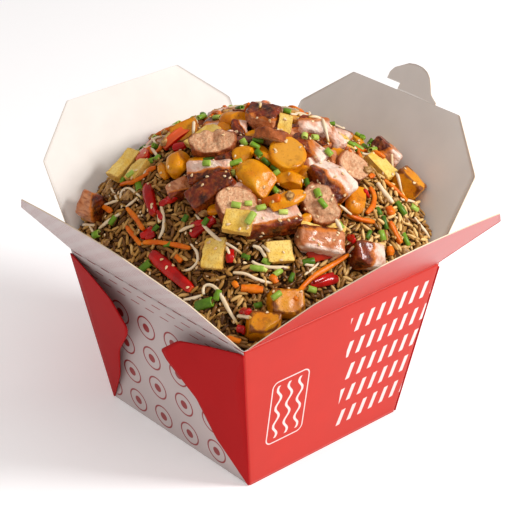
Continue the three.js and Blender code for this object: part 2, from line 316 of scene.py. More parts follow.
def sheet_place(tree):
    """Distance along a sheet and up it, in mm, from its own attribute."""
    place = node(tree, "ShaderNodeAttribute", attribute_name="sheet").outputs["Vector"]
    parts = node(tree, "ShaderNodeSeparateXYZ", {0: place})
    return Wire(tree, parts.outputs["X"]), Wire(tree, parts.outputs["Y"])


def board_finish(name, colour, roughness, shine, ink=None, print_mask=None):
    """Board with fibres, a faint cloudiness, painted crease shade and, if asked, a second ink
    where a mask says.
    """
    material, tree, shader = new_finish(name, colour, roughness, Specular_IOR_Level=shine)
    place = object_place(tree)
    dimmer, crease_shaded = [(*[channel * share for channel in colour[:3]], 1.0)
                      for share in (CLOUD_SHARE, CREASE_SHADE_SHARE)]
    shade = mixed(tree, patchy(tree, place, 45.0), colour, dimmer)
    if print_mask is not None:
        shade = mixed(tree, print_mask(tree), shade, ink)
    _, up = sheet_place(tree)
    # Painted shade along the crease: darker where the sheet's height is near the rim crease.
    crease_shade = abs(up - CREASE_SHADE_HEIGHT).under(CREASE_SHADE_HALF, 0.25)
    shade = mixed(tree, crease_shade * CREASE_SHADE_DEPTH, shade, crease_shaded)
    dressed(tree, shader, shade, use_group(tree, fibres, "Height", Vector=place), 0.02, 0.5)
    return material


def cell(value, pitch, offset=0.0):
    """Distance from the middle of the cell that a value lies in, in the value's own unit."""
    return (((value + offset) / pitch).step("FRACT") - 0.5) * pitch


# Small rings with a dot in the middle, in straight rows, for the light sides. Rows of fine
# broken lines take their place along the top of the wall and on the flaps.
RING_PITCH_ALONG, RING_PITCH_UP = 24.0, 21.6
RING_RADIUS, RING_LINE, DOT_RADIUS = 7.4, 0.55, 2.9
DASH_FROM, DASH_PITCH, DASH_ROWS, DASH_LINE, DASH_LENGTH = 88.0, 13.0, 5.2, 0.3, 7.6
DASH_SLANT, DASH_BLUR = 1.3, 0.5


def ring_print(tree):
    """Rings and dots: distance from each cell's middle, within a line's half width.

    Above DASH_FROM, dashes instead, where a row's line and a slanted column's bar overlap."""
    along, up = sheet_place(tree)
    dash = (abs(cell(along + up * DASH_SLANT, DASH_PITCH)).under(DASH_LENGTH / 2, DASH_BLUR)
            * abs(cell(up, DASH_ROWS)).under(DASH_LINE))
    dashed = (up * -1.0).under(-DASH_FROM)
    across, rise = cell(along, RING_PITCH_ALONG), cell(up, RING_PITCH_UP)
    far = (across * across + rise * rise) ** 0.5
    rings = abs(far - RING_RADIUS).under(RING_LINE).step("MAXIMUM", far.under(DOT_RADIUS))
    return rings * dashed.ranged(1.0, 0.0) + dash * dashed


# Slanted white bars in rows on the right of the front, and three wavy lines in a frame.
BAR_PITCH, BAR_WIDTH, BAR_SLANT = 8.6, 3.1, 0.3
ROW_PITCH, ROW_HEIGHT, ROW_RISE = 16.8, 10.5, 0.03
BARS_FROM, BARS_TO, BARS_LOW, BARS_HIGH = 6.0, 84.0, 9.5, 93.5
PANEL_MIDDLE, PANEL_HALF, PANEL_CORNER, PANEL_LINE = (-36.0, 47.0), (13.5, 22.0), 4.0, 0.8
WAVE_PITCH, WAVE_SWING, WAVE_LENGTH, WAVE_LINE = 8.0, 1.6, 13.0, 0.9


def between(value, low, high):
    """1 where a value lies from low to high."""
    return abs(value - (low + high) / 2).under((high - low) / 2)


def bar_print(tree):
    """Bars, where a row and a slanted column overlap, joined with a framed set of waves."""
    along, up = sheet_place(tree)
    column = abs(cell(along - up * BAR_SLANT, BAR_PITCH)).under(BAR_WIDTH / 2)
    row = abs(cell(up - along * ROW_RISE, ROW_PITCH, -BARS_LOW)).under(ROW_HEIGHT / 2)
    bars = column * row * (between(along, BARS_FROM, BARS_TO) * between(up, BARS_LOW, BARS_HIGH))
    side, rise = along - PANEL_MIDDLE[0], up - PANEL_MIDDLE[1]
    past_x, past_y = [(abs(value) - (half - PANEL_CORNER)).step("MAXIMUM", 0.0)
                      for value, half in zip((side, rise), PANEL_HALF)]
    edge = (past_x * past_x + past_y * past_y) ** 0.5 - PANEL_CORNER
    swing = (rise * (2 * np.pi / WAVE_LENGTH)).step("SINE") * WAVE_SWING
    wave = abs(cell(side + swing, WAVE_PITCH, WAVE_PITCH / 2)).under(WAVE_LINE)
    framed = abs(edge).under(PANEL_LINE / 2).step(
        "MAXIMUM", wave * edge.under(PANEL_LINE - PANEL_CORNER))
    return bars.step("MAXIMUM", framed)


red_printed = board_finish("printed red board", RED_INK, 0.3, 0.22, PRINT_WHITE, bar_print)
light_printed = board_finish("printed light board", SHADED_WHITE_COAT, 0.4, 0.3, PRINT_RED, ring_print)
bare_board = board_finish("bare board", BARE_WHITE, 0.6, 0.2)
cut_board = board_finish("cut edge", CUT_CREAM, 0.7, 0.2)
BOARD = [red_printed, light_printed, bare_board, cut_board]
RED, LIGHT, BARE, CUT = range(len(BOARD))


# ---- Carton walls ----
# Four tapered walls and a base folded from one sheet of 0.6 mm board, with rounded upright
# folds and a slight outward bow from the weight of the rice.
BOARD_THICK = 0.6
RIM_HEIGHT = 102.0
RIM_HALF = np.array([75.0, 77.5])
BASE_HALF = np.array([58.0, 62.5])
FOLD_RADIUS, FOLD_LEAST = 1.3, 0.3
BOW = 0.5
WALL_ROWS, SIDE_COLUMNS, FOLD_COLUMNS = 48, 40, 6
CORNERS = np.array([[1, 1], [-1, 1], [-1, -1], [1, -1]])


def wall_half(height):
    """Half width and half depth of the carton at a height, from the base to the rim."""
    return BASE_HALF + (RIM_HALF - BASE_HALF) * height / RIM_HEIGHT


def wall_ring(half, radius):
    """Rounded rectangle round the origin: straight sides joined by quarter circles."""
    parts = []
    for quarter in range(4):
        turns = np.pi / 2 * quarter + np.pi / 2 * np.linspace(0, 1, FOLD_COLUMNS)
        corner, after = CORNERS[[quarter, (quarter + 1) % 4]] * (half - radius)
        fold = corner + radius * np.c_[np.cos(turns), np.sin(turns)]
        end = after + radius * np.array([np.cos(turns[-1]), np.sin(turns[-1])])
        steps = np.linspace(0, 1, SIDE_COLUMNS + 1)[1:-1, None]
        parts += [fold, fold[-1] + (end - fold[-1]) * steps]
    return np.vstack(parts)


def edge_loop(rows, columns):
    """Numbers round the edge of a grid stored row by row, and the number after each."""
    line = np.arange(rows) * columns
    loop = np.concatenate([np.arange(columns), line[1:] + columns - 1,
                           line[-1] + np.arange(columns)[-2::-1], line[-2:0:-1]])
    return loop, np.roll(loop, -1)


def grid_faces(rows, columns, closed=False):
    """Quads between neighbouring points of a grid stored row by row."""
    around = np.arange(columns if closed else columns - 1)
    first = (np.arange(rows - 1)[:, None] * columns + around).ravel()
    second = (np.arange(rows - 1)[:, None] * columns + (around + 1) % columns).ravel()
    return np.c_[first, second, second + columns, first + columns]


def wall_face(inset, low, high):
    """Points of the four walls between two heights, drawn in, bowed most at mid height."""
    rings = []
    for height in np.linspace(low, high, WALL_ROWS):
        half = wall_half(height)
        ring = wall_ring(half - inset, max(FOLD_RADIUS - inset, FOLD_LEAST))
        bulge = (BOW * np.sin(np.pi * height / RIM_HEIGHT)
                 * (1 - (np.abs(ring) / half).min(-1) ** 2))
        side = np.abs(ring / half)
        outward = np.sign(ring) * (side == side.max(-1, keepdims=True))
        rings.append(np.c_[ring + outward * bulge[:, None], np.full(len(ring), height)])
    return np.array(rings)


both_faces = np.array([wall_face(0.0, 0.0, RIM_HEIGHT),
                       wall_face(BOARD_THICK, BOARD_THICK, RIM_HEIGHT)])
ring_count = both_faces.shape[2]
wall_points = both_faces.reshape(-1, 3)
outer_count = WALL_ROWS * ring_count
outer_faces = grid_faces(WALL_ROWS, ring_count, closed=True)
inner_faces = outer_faces[:, ::-1] + outer_count
top_ring = outer_count - ring_count + np.arange(ring_count)
after_top = np.roll(top_ring, -1)
rim_faces = np.c_[top_ring, after_top, after_top + outer_count, top_ring + outer_count]
base_faces = np.arange(ring_count)[::-1][None]
well_faces = (outer_count + np.arange(ring_count))[None]
on_side = np.abs(wall_points[:, 0]) * RIM_HALF[1] > np.abs(wall_points[:, 1]) * RIM_HALF[0]
wall_sheet = np.c_[np.where(on_side, wall_points[:, 1], wall_points[:, 0]), wall_points[:, 2],
                   np.zeros(len(wall_points))]
walls = surface("carton_walls", wall_points,
                [outer_faces, inner_faces, rim_faces, base_faces, well_faces],
                vectors={"sheet": wall_sheet})
for finish_made in BOARD:
    walls.data.materials.append(finish_made)
face_middle = wall_points[outer_faces].mean(1)
across_x, across_y = (np.abs(face_middle[:, :2]) / wall_half(face_middle[:, 2:])).T
wall_slots = np.concatenate([np.where(across_x > across_y, LIGHT, RED),
                             np.full(len(inner_faces), BARE), np.full(len(rim_faces), BARE),
                             [LIGHT, BARE]])
walls.data.polygons.foreach_set("material_index", wall_slots)
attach(walls, "box")
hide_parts("carton")


# ---- Folded corner gussets ----
# The doubled corners of the sheet, folded flat against the two light sides. Each hangs from
# its corner edge, and those on the left have sprung away from the wall.
GUSSET_THICK = 1.1
# Painted shade: the gussets carry the front's red ink, painted a darker red as shade.
GUSSET_SHADED_RED = paint(178, 22, 24)
GUSSET_STAND_OFF = {-1: 10.0, 1: 3.0}
GUSSET_WIDTHS = [(0.4, 1.0), (13.0, 12.0), (25.0, 22.5), (49.0, 35.5), (67.5, 56.0),
                 (73.5, 59.5), (87.5, 46.0), (95.0, 25.0), (102.4, 0.5)]
GUSSET_GAP, GUSSET_CURL, GUSSET_PINCH = 0.3, 0.35, 0.35
GUSSET_LOW, GUSSET_HIGH, GUSSET_BLUR = 0.6, 101.6, 1.2
GUSSET_ROWS, GUSSET_COLUMNS = 60, 14
shaded_gusset_board = board_finish("red gusset board", GUSSET_SHADED_RED, 0.55, 0.06)


def eased(table, values, blur):
    """Straight-line steps between the rows of a table, rounded by a running mean."""
    table = np.array(table)
    shifts = np.linspace(-blur, blur, 9)
    return np.mean([np.interp(values + shift, table[:, 0], table[:, 1]) for shift in shifts], 0)


def gusset(side_x, side_y):
    """Plate hung from a corner edge: across by up, and outward by half its thickness."""
    low, high = [np.array([side_x * half[0], side_y * half[1], height])
                 for half, height in ((BASE_HALF, 0), (RIM_HALF, RIM_HEIGHT))]
    edge = (high - low) / np.linalg.norm(high - low)
    across = np.array([0, -side_y, 0]) + edge * side_y * edge[1]
    across /= np.linalg.norm(across)
    outward = np.cross(across, edge)
    outward *= np.sign(outward[0]) * side_x
    turn = np.radians(GUSSET_STAND_OFF[side_x])
    hang = across * np.cos(turn) + outward * np.sin(turn)
    face = outward * np.cos(turn) - across * np.sin(turn)
    rise = np.linspace(GUSSET_LOW, GUSSET_HIGH, GUSSET_ROWS)
    width = eased(GUSSET_WIDTHS, rise, GUSSET_BLUR).clip(GUSSET_GAP)
    share = np.linspace(0, 1, GUSSET_COLUMNS) ** 0.8
    far = share[None] * width[:, None]
    curl = (GUSSET_CURL * np.sin(np.pi * share)[None]
            * np.sin(np.pi * rise / RIM_HEIGHT)[:, None])
    sheet = low + edge * rise[:, None, None] + hang * far[..., None]
    half = (GUSSET_THICK - GUSSET_GAP) * 0.5 * (1 - GUSSET_PINCH * share[None] ** 6)
    front, back = [sheet + face * (curl + GUSSET_GAP + way * half)[..., None]
                   for way in (1, -1)]
    count = GUSSET_ROWS * GUSSET_COLUMNS
    grid = grid_faces(GUSSET_ROWS, GUSSET_COLUMNS)
    flip = np.dot(np.cross(hang, edge), face) < 0
    front_faces, back_faces = (grid[:, ::-1], grid) if flip else (grid, grid[:, ::-1])
    loop, after = edge_loop(GUSSET_ROWS, GUSSET_COLUMNS)
    rim = np.c_[loop, loop + count, after + count, after]
    if flip:
        rim = rim[:, ::-1]
    place = np.stack(np.broadcast_arrays(far, rise[:, None], 0.0), -1).reshape(-1, 3)
    name = f"gusset_{'left' if side_x < 0 else 'right'}_{'front' if side_y < 0 else 'back'}"
    plate = surface(name, np.vstack([front.reshape(-1, 3), back.reshape(-1, 3)]),
                    [front_faces, back_faces + count, rim],
                    vectors={"sheet": np.vstack([place, place])})
    plate.data.materials.append(shaded_gusset_board)
    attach(plate, "box")
    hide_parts("carton")


for side_x in (-1, 1):
    for side_y in (-1, 1):
        gusset(side_x, side_y)


# ---- Flaps ----
# Four eight-sided lid flaps of the same sheet, creased at the rim. Each is one sheet from
# the wall's cut to its top edge, and bends over the crease to its lean.
CREASE_RISE = 0.4
FLAP_COLUMNS = 44
LEFT, RIGHT_SIDE, FRONT, BACK = "left", "right", "front", "back"
FLAPS = {
    FRONT: {"lean": 43.9, "shoulder": 56, "shoulder_in": 4.5, "top": 86, "top_in": 30.5,
            "skew": 9, "out": (0, -1), "along": (1, 0), "print": RED},
    BACK: {"lean": 30.4, "shoulder": 53, "shoulder_in": 3.5, "top": 82, "top_in": 33,
           "skew": 0, "out": (0, 1), "along": (-1, 0), "print": RED},
    LEFT: {"lean": 40.2, "shoulder": 52, "shoulder_in": 3.5, "top": 81, "top_in": 33,
           "skew": 0, "out": (-1, 0), "along": (0, -1), "print": LIGHT},
    RIGHT_SIDE: {"lean": 34.4, "shoulder": 53, "shoulder_in": 3.5, "top": 82, "top_in": 33,
                 "skew": 0, "out": (1, 0), "along": (0, 1), "print": LIGHT},
}
CORNER_RELIEF = 3.0
CREASE_REACH, CREASE_START = 1.4, -0.4
CREASE_RISES = [CREASE_START, 0.0, 0.4, 0.8, 1.2, 2.0, 3.0]
WALL_TAPER = np.radians(8.9)
FLAP_WARP, FLAP_BLUR, TOP_ROUND = 0.8, 0.9, (0.25, 0.9)


def sheet_solid(name, middle, away, flat, finishes):
    """Closed sheet of board: a grid of middles pushed half a thickness along away each way.

    flat holds each point's place on the sheet, and finishes those of its two faces."""
    rows, columns = middle.shape[:2]
    half = BOARD_THICK / 2
    outer = (middle + away * half).reshape(-1, 3)
    inner = (middle - away * half).reshape(-1, 3)
    count = rows * columns
    grid = grid_faces(rows, columns)
    loop, after = edge_loop(rows, columns)
    rim = np.c_[after + count, loop + count, loop, after]
    made = surface(name, np.vstack([outer, inner]), [grid, grid[:, ::-1] + count, rim],
                   vectors={"sheet": np.vstack([flat.reshape(-1, 3)] * 2)})
    for finish_made in BOARD:
        made.data.materials.append(finish_made)
    made.data.polygons.foreach_set("material_index", np.concatenate([
        np.full(len(grid), finishes[0]), np.full(len(grid), finishes[1]),
        np.full(len(rim), CUT)]))
    made.data.polygons.foreach_set("use_smooth", np.concatenate([
        np.full(2 * len(grid), True), np.full(len(rim), False)]))
    return made


def flap(side):
    """Sheet over width and height: the width follows the outline, the path the crease."""
    spec = FLAPS[side]
    out = np.array([*spec["out"], 0.0])
    along = np.array([*spec["along"], 0.0])
    half_out, half_along = RIM_HALF @ np.abs(out[:2]), RIM_HALF @ np.abs(along[:2])
    lean = np.radians(spec["lean"])
    shoulder, top = spec["shoulder"], spec["top"]
    rise = np.concatenate([CREASE_RISES, np.linspace(4, shoulder - 1, 26),
                           np.linspace(shoulder, top - 0.8, 18), [top - 0.3, top]])
    width = eased([(CREASE_START, half_along - CORNER_RELIEF), (0.8, half_along - CORNER_RELIEF),
                   (shoulder, half_along - spec["shoulder_in"]),
                   (top, half_along - spec["top_in"])], rise, FLAP_BLUR)
    width[-2:] -= TOP_ROUND
    drift = spec["skew"] * (rise / shoulder).clip(0, 1)
    bend = ((rise - CREASE_START) / CREASE_REACH).clip(0, 1)
    bend = bend * bend * (3 - 2 * bend)
    angle = WALL_TAPER + (lean - WALL_TAPER) * bend
    mid_angle = (angle[1:] + angle[:-1]) / 2
    outward, upward = [np.concatenate([[0], np.cumsum(np.diff(rise) * part(mid_angle))])
                       for part in (np.sin, np.cos)]
    outward += (top * np.sin(lean) - outward[-1]) * bend - BOARD_THICK / 2 * (1 - bend)
    upward += (top * np.cos(lean) - upward[-1]) * bend + CREASE_START * (1 - bend)
    share = np.linspace(-1, 1, FLAP_COLUMNS)
    flat_along = drift[:, None] + share[None] * width[:, None]
    normal = np.stack([np.cos(angle), -np.sin(angle)], -1)
    warp = FLAP_WARP * ((rise / top).clip(0) ** 2)[:, None] * (share[None] ** 2 - 0.3)
    place_out = half_out + outward[:, None] + warp * normal[:, :1]
    place_up = RIM_HEIGHT + CREASE_RISE + upward[:, None] + warp * normal[:, 1:]
    middle = (flat_along[..., None] * along + place_out[..., None] * out
              + place_up[..., None] * np.array([0, 0, 1.0]))
    away = normal[:, None, :1] * out + normal[:, None, 1:] * np.array([0, 0, 1.0])
    away = np.broadcast_to(away, middle.shape)
    flat = np.stack(np.broadcast_arrays(flat_along, RIM_HEIGHT + rise[:, None], 0.0), -1)
    sheet = sheet_solid(f"flap_sheet_{side}", middle, away, flat, (spec["print"], BARE))
    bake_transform(sheet)
    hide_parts(f"flap_{side}")


for side in FLAPS:
    flap(side)


# ---- Locking tab ----
# The hooked tongue at the top of the right flap, which tucks into the opposite flap. It is
# cut from the same sheet and creased where it leaves the flap.
TAB_UPPER = [(-25.0, 0.15), (-19.0, 3.6), (-16.0, 8.2), (-12.7, 12.6), (-9.0, 15.4), (-4.5, 17.0),
             (1.0, 17.4), (6.5, 16.5), (12.5, 12.8), (15.7, 11.0), (17.8, 7.0)]
TAB_NOTCH_FROM, TAB_NOTCH_HEIGHT, TAB_TIP = 6.5, 3.2, 17.6
TAB_CLEARANCE = 1.0
TAB_ROWS = 16

tab_spec = FLAPS[RIGHT_SIDE]
tab_lean = np.radians(tab_spec["lean"])
tab_along = np.concatenate([np.linspace(-25, TAB_NOTCH_FROM, 40),
                            np.linspace(TAB_NOTCH_FROM + 0.01, TAB_TIP, 16)])
tab_high = eased(TAB_UPPER, tab_along, 0.8)
tab_low = np.where(tab_along > TAB_NOTCH_FROM, TAB_NOTCH_HEIGHT, -TAB_CLEARANCE)
tab_high = np.maximum(tab_high, tab_low + 0.4)
tab_share = np.linspace(0, 1, TAB_ROWS)
tab_rise = (tab_spec["top"] + TAB_CLEARANCE + tab_low[None]
            + tab_share[:, None] * (tab_high - tab_low)[None])
tab_out = RIM_HALF[0] + tab_rise * np.sin(tab_lean)
tab_up = RIM_HEIGHT + CREASE_RISE + tab_rise * np.cos(tab_lean)
tab_middle = np.stack([tab_out, np.broadcast_to(tab_along[None], tab_out.shape), tab_up], -1)
tab_away = np.broadcast_to([np.cos(tab_lean), 0, -np.sin(tab_lean)], tab_middle.shape)
tab_flat = np.stack(np.broadcast_arrays(tab_along[None], RIM_HEIGHT + tab_rise, 0.0), -1)
tab = sheet_solid("locking_tab", tab_middle, tab_away, tab_flat, (LIGHT, BARE))
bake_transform(tab)
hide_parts("hook_tab")


# ---- Heap: where the rice lies ----
# The mound rises over the rim to a crown behind the middle. It leans on the back and right
# flaps, and stays behind the upright planes at the front and left.
CROWN = np.array([20.0, 18.0])
HEAP_EDGE, HEAP_RISE, HEAP_POWER = 99.0, 71.0, 2.2
REACH_LOW, REACH_HIGH = np.array([96.0, 95.0]), np.array([106.0, 112.0])
ROOM_LEAN = {LEFT: 0.0, RIGHT_SIDE: 34.4, FRONT: 0.0, BACK: 30.4}
RICE_GAP = 1.0


def heap_height(x, y):
    """Edge height plus the rise times one falling power on each axis from the crown."""
    fall = 1.0
    for value, crown, low, high in zip((x, y), CROWN, REACH_LOW, REACH_HIGH):
        share = np.where(value < crown, (crown - value) / low, (value - crown) / high)
        fall = fall * (1 - share.clip(0) ** HEAP_POWER).clip(0)
    return HEAP_EDGE + HEAP_RISE * fall


def heap_normal(x, y):
    """Upright of the mound's slope, from heights half a millimetre each way."""
    step = 0.5
    slope_x = (heap_height(x + step, y) - heap_height(x - step, y)) / (2 * step)
    slope_y = (heap_height(x, y + step) - heap_height(x, y - step)) / (2 * step)
    normal = np.stack([-slope_x, -slope_y, np.ones_like(slope_x)], -1)
    return normal / np.linalg.norm(normal, axis=-1, keepdims=True)


def side_reaches(points):
    """Each side's axis and sign, and how far out its wall or flap stands at every height."""
    above = (points[..., 2] - RIM_HEIGHT).clip(0)
    below = (RIM_HEIGHT - points[..., 2]).clip(0)
    taper = (RIM_HALF - BASE_HALF) / RIM_HEIGHT
    for side, axis, sign in ((LEFT, 0, -1), (RIGHT_SIDE, 0, 1), (FRONT, 1, -1), (BACK, 1, 1)):
        reach = RIM_HALF[axis] + above * np.tan(np.radians(ROOM_LEAN[side]))
        yield axis, sign, reach - below * taper[axis] - RICE_GAP


def room_left(points):
    """Distance in plan from each point to the nearest wall or flap, negative outside."""
    return np.min([reach - sign * points[..., axis]
                   for axis, sign, reach in side_reaches(points)], 0)


def kept_in(points, margin=0.0):
    """Points past a wall or a flap are drawn back to a margin inside it."""
    held = np.array(points, float)
    for axis, sign, reach in side_reaches(held):
        held[..., axis] = sign * np.minimum(sign * held[..., axis], reach - margin)
    return held


OILY = 0.2
RICE_SHADES = [paint(66, 36, 10), paint(128, 84, 36), paint(182, 134, 66), paint(232, 192, 124)]


def ramped(tree, factor, first, last, between):
    """Colour socket along a ramp from first to last, with a few colours placed between."""
    ramp = node(tree, "ShaderNodeValToRGB", {"Fac": factor})
    ramp.color_ramp.elements[0].color = first
    ramp.color_ramp.elements[1].color = last
    for spot, colour in between:
        ramp.color_ramp.elements.new(spot).color = colour
    return ramp.outputs["Color"]


def rice_finish(name, shift, roughness=0.24):
    """Soy-browned rice: a tone for each grain, darker patches, and a light film of oil."""
    dark, brown, tan, pale = RICE_SHADES
    material, tree, shader = new_finish(name, brown, roughness, Specular_IOR_Level=OILY)
    place = object_place(tree)
    level = mask_of(tree, "tone") + shift - patchy(tree, place, 90.0, 0.5, 0.2) * 0.16
    shade = ramped(tree, level, dark, pale, ((0.35, brown), (0.7, tan)))
    dressed(tree, shader, shade, patchy(tree, place, 1400.0, 0.5, 0.4), 0.03, 0.2)
    return material


# The bed is the imported rice under the loose grains: a lumpy dome filling the carton,
# painted dark as the shade in the gaps between grains.
BED_AROUND, BED_OUT = 180, 70
BED_DROP = 2.6
BED_FLOOR, BED_MARGIN, SKIRT_GAP = 4.0, 2.2, 2.0
SKIRT_DROPS = (1.0, 0.66, 0.33, 0.02)
bed_turns = 2 * np.pi * np.arange(BED_AROUND) / BED_AROUND
bed_ways = np.c_[np.cos(bed_turns), np.sin(bed_turns)]
reaches = np.arange(20, 135, 0.5)
trial = CROWN + bed_ways[:, None] * reaches[None, :, None]
trial_height = heap_height(trial[..., 0], trial[..., 1])
outside = room_left(np.concatenate([trial, trial_height[..., None]], -1)) < 0.6
bed_reach = reaches[outside.argmax(1)]


def wobble(points, seed, wave):
    """Soft lumps about wave mm long: the mean of eight sine waves with random ways."""
    rng = np.random.default_rng(seed)
    ways = rng.normal(size=(8, points.shape[-1]))
    ways /= np.linalg.norm(ways, axis=1, keepdims=True)
    ways *= rng.uniform(0.7, 1.5, (8, 1)) * 2 * np.pi / wave
    return np.sin(points @ ways.T + rng.uniform(0, 2 * np.pi, 8)).mean(-1) * 1.8


bed_share = np.linspace(1, 0.02, BED_OUT)
bed_plan = CROWN + bed_ways[None] * (bed_share[:, None] * bed_reach[None])[..., None]
bed_high = heap_height(bed_plan[..., 0], bed_plan[..., 1]) - BED_DROP
bed_top = np.concatenate([bed_plan, bed_high[..., None]], -1)
bed_top[..., 2] += wobble(bed_top, 3, 7.0) * 0.8
rim_ring = bed_top[0]
skirt = []
for drop_share in SKIRT_DROPS:
    ring = rim_ring.copy()
    ring[:, 2] = BED_FLOOR + (rim_ring[:, 2].clip(0, RIM_HEIGHT) - BED_FLOOR) * (1 - drop_share)
    inner_half = wall_half(ring[:, 2:3].clip(0, RIM_HEIGHT)) - SKIRT_GAP
    ring[:, :2] = np.clip(ring[:, :2], -inner_half, inner_half)
    skirt.append(ring)
bed_shape = np.vstack([*skirt, bed_top.reshape(-1, 3),
                       [[*CROWN, heap_height(*CROWN) - BED_DROP]]])
bed_points = kept_in(bed_shape, BED_MARGIN)
bed_rows = BED_OUT + len(skirt)
last_row = (bed_rows - 1) * BED_AROUND + np.arange(BED_AROUND)
bed_cap = np.c_[last_row, np.roll(last_row, -1), np.full(BED_AROUND, bed_rows * BED_AROUND)]
bed = surface("rice_bed", bed_points,
              [grid_faces(bed_rows, BED_AROUND, closed=True), bed_cap,
               np.arange(BED_AROUND)[::-1][None]],
              masks={"tone": np.full(len(bed_points), 0.14)})
# Painted shade: the bed's low tone and darker shift stand for the shadow in the gaps between
# grains.
bed.data.materials.append(rice_finish("shaded rice bed", -0.05, 0.8))
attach(bed, "box")
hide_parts("rice")


# ---- Toppings: how each cut piece is seated and shaped ----
# Every piece sits on the slope of the heap: its place on the plan, the height of its middle
# over the rice, then three turns in degrees, about the slope's upright, end up and roll.
def ball(around, up):
    """Directions on a unit ball between two poles, with quads, and a fan at each pole."""
    polar = np.pi * np.arange(1, up) / up
    turn = 2 * np.pi * np.arange(around) / around
    polar, turn = np.meshgrid(polar, turn, indexing="ij")
    rows = np.stack([np.sin(polar) * np.cos(turn), np.sin(polar) * np.sin(turn),
                     np.cos(polar)], -1).reshape(-1, 3)
    points = np.vstack([rows, [[0, 0, 1], [0, 0, -1]]])
    quads = grid_faces(up - 1, around, closed=True)[:, [0, 3, 2, 1]]
    return points, [quads, end_fans(up - 1, around)[:, [0, 2, 1]]]


def end_fans(rows, around):
    """Triangles from a grid's first and last rings to two poles stored after the grid."""
    count, first = rows * around, np.arange(around)
    last = count - around + first
    return np.vstack([np.c_[np.full(around, count), np.roll(first, -1), first],
                      np.c_[np.full(around, count + 1), last, np.roll(last, -1)]])


def cut_block(steps, corner):
    """Skin of a cube from -1 to 1 with its points closest near the edges. Each point is drawn
    in to a smaller cube, then pushed out again by the corner radius."""
    lattice = np.stack(np.meshgrid(*[np.arange(steps + 1)] * 3, indexing="ij"), -1)
    lattice = lattice.reshape(-1, 3)
    lattice = lattice[((lattice == 0) | (lattice == steps)).any(1)]
    number = np.zeros((steps + 1,) * 3, int)
    number[tuple(lattice.T)] = np.arange(len(lattice))
    cube = np.sin((lattice / steps - 0.5) * np.pi)
    core = cube.clip(corner - 1, 1 - corner)
    out = cube - core
    points = core + corner * out / np.linalg.norm(out, axis=1, keepdims=True)
    first, second = np.divmod(np.arange(steps * steps), steps)
    faces = []
    for axis in range(3):
        for level in (0, steps):
            corners = []
            for right, up in ((0, 0), (1, 0), (1, 1), (0, 1)):
                spot = np.full((steps * steps, 3), level)
                spot[:, (axis + 1) % 3] = first + right
                spot[:, (axis + 2) % 3] = second + up
                corners.append(number[tuple(spot.T)])
            quads = np.stack(corners, 1)
            faces.append(quads if level else quads[:, ::-1])
    return points, [np.vstack(faces)]


def cut_slice(around, corner):
    """Disc of radius 1 from -1 to 1 in height: rings from one middle out over the rounded rim
    and back to the other middle."""
    bend = np.linspace(0, np.pi / 2, 7)
    flat = np.linspace(0.09, 1 - corner, 10)[:-1]
    arc = 1 - corner + corner * np.sin(bend)
    rise = 1 - corner + corner * np.cos(bend)
    side = np.linspace(corner - 1, 1 - corner, 6)[1:-1]
    radius = np.concatenate([flat, arc, np.ones(len(side)), arc[::-1], flat[::-1]])
    height = np.concatenate([-np.ones(len(flat)), -rise, side, rise[::-1], np.ones(len(flat))])
    turn = 2 * np.pi * np.arange(around) / around
    rows = np.stack([radius[:, None] * np.cos(turn), radius[:, None] * np.sin(turn),
                     np.broadcast_to(height[:, None], (len(height), around))], -1)
    return (np.vstack([rows.reshape(-1, 3), [[0, 0, -1], [0, 0, 1]]]),
            [grid_faces(len(radius), around, closed=True), end_fans(len(radius), around)])


def chopped(points, seed, count, near, far):
    """Points past a random plane are drawn straight back onto it, for count knife cuts."""
    rng = np.random.default_rng(seed)
    for _ in range(count):
        way = rng.normal(size=3)
        way /= np.linalg.norm(way)
        past = (points @ way - rng.uniform(near, far)).clip(0)
        points = points - way * past[:, None]
    return points


def turned(turn, pitch, roll):
    """Rotation by roll about X, then pitch about Y, then turn about Z, in degrees."""
    cx, cy, cz = np.cos(np.radians([roll, pitch, turn]))
    sx, sy, sz = np.sin(np.radians([roll, pitch, turn]))
    about_x = np.array([[1, 0, 0], [0, cx, -sx], [0, sx, cx]])
    about_y = np.array([[cy, 0, sy], [0, 1, 0], [-sy, 0, cy]])
    about_z = np.array([[cz, -sz, 0], [sz, cz, 0], [0, 0, 1]])
    return about_z @ about_y @ about_x


def seat(x, y, lift, turn, pitch, roll):
    """Middle of a piece, and the three ways that its own axes point, as columns."""
    up = heap_normal(np.float64(x), np.float64(y))
    along = np.array([1.0, 0, 0]) - up * up[0]
    along /= np.linalg.norm(along)
    slope = np.column_stack([along, np.cross(up, along), up])
    middle = np.array([x, y, float(heap_height(np.float64(x), np.float64(y)))]) + up * lift
    return middle, slope @ turned(turn, pitch, roll)


def smooth_step(values, low, high):
    """0 under low, 1 over high, and a smooth rise between."""
    share = ((values - low) / (high - low)).clip(0, 1)
    return share * share * (3 - 2 * share)


SEATED = []
PLUMP = 1.12


def seated(unit, faces, size, place, lumps, seed):
    """Points of a unit shape at its size on the heap, pushed in and out by soft lumps."""
    middle, axes = seat(*place)
    half = np.array(size) / 2 * PLUMP
    local = unit * half
    reach = np.linalg.norm(local, axis=1, keepdims=True).clip(0.01)
    for order, (wave, height) in enumerate(lumps):
        local = local + local / reach * height * wobble(local, seed + order, wave)[:, None]
    points = kept_in(middle + local @ axes.T)
    SEATED.append((middle, axes, half, points, faces))
    return points


def facing(unit, place, way):
    """How far each point lies to one side of its piece: 1 for the point furthest that way."""
    _, axes = seat(*place)
    far = unit @ axes.T @ np.array(way)
    return far / far.max()


def piece_on_heap(name, points, faces, finish_made, node_name, masks=None):
    """Makes the mesh of a piece that rides on the carton and stands for a solid."""
    piece = surface(name, kept_in(points), faces, masks=masks)
    piece.data.materials.append(finish_made)
    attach(piece, "box")
    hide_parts(node_name)
    return piece


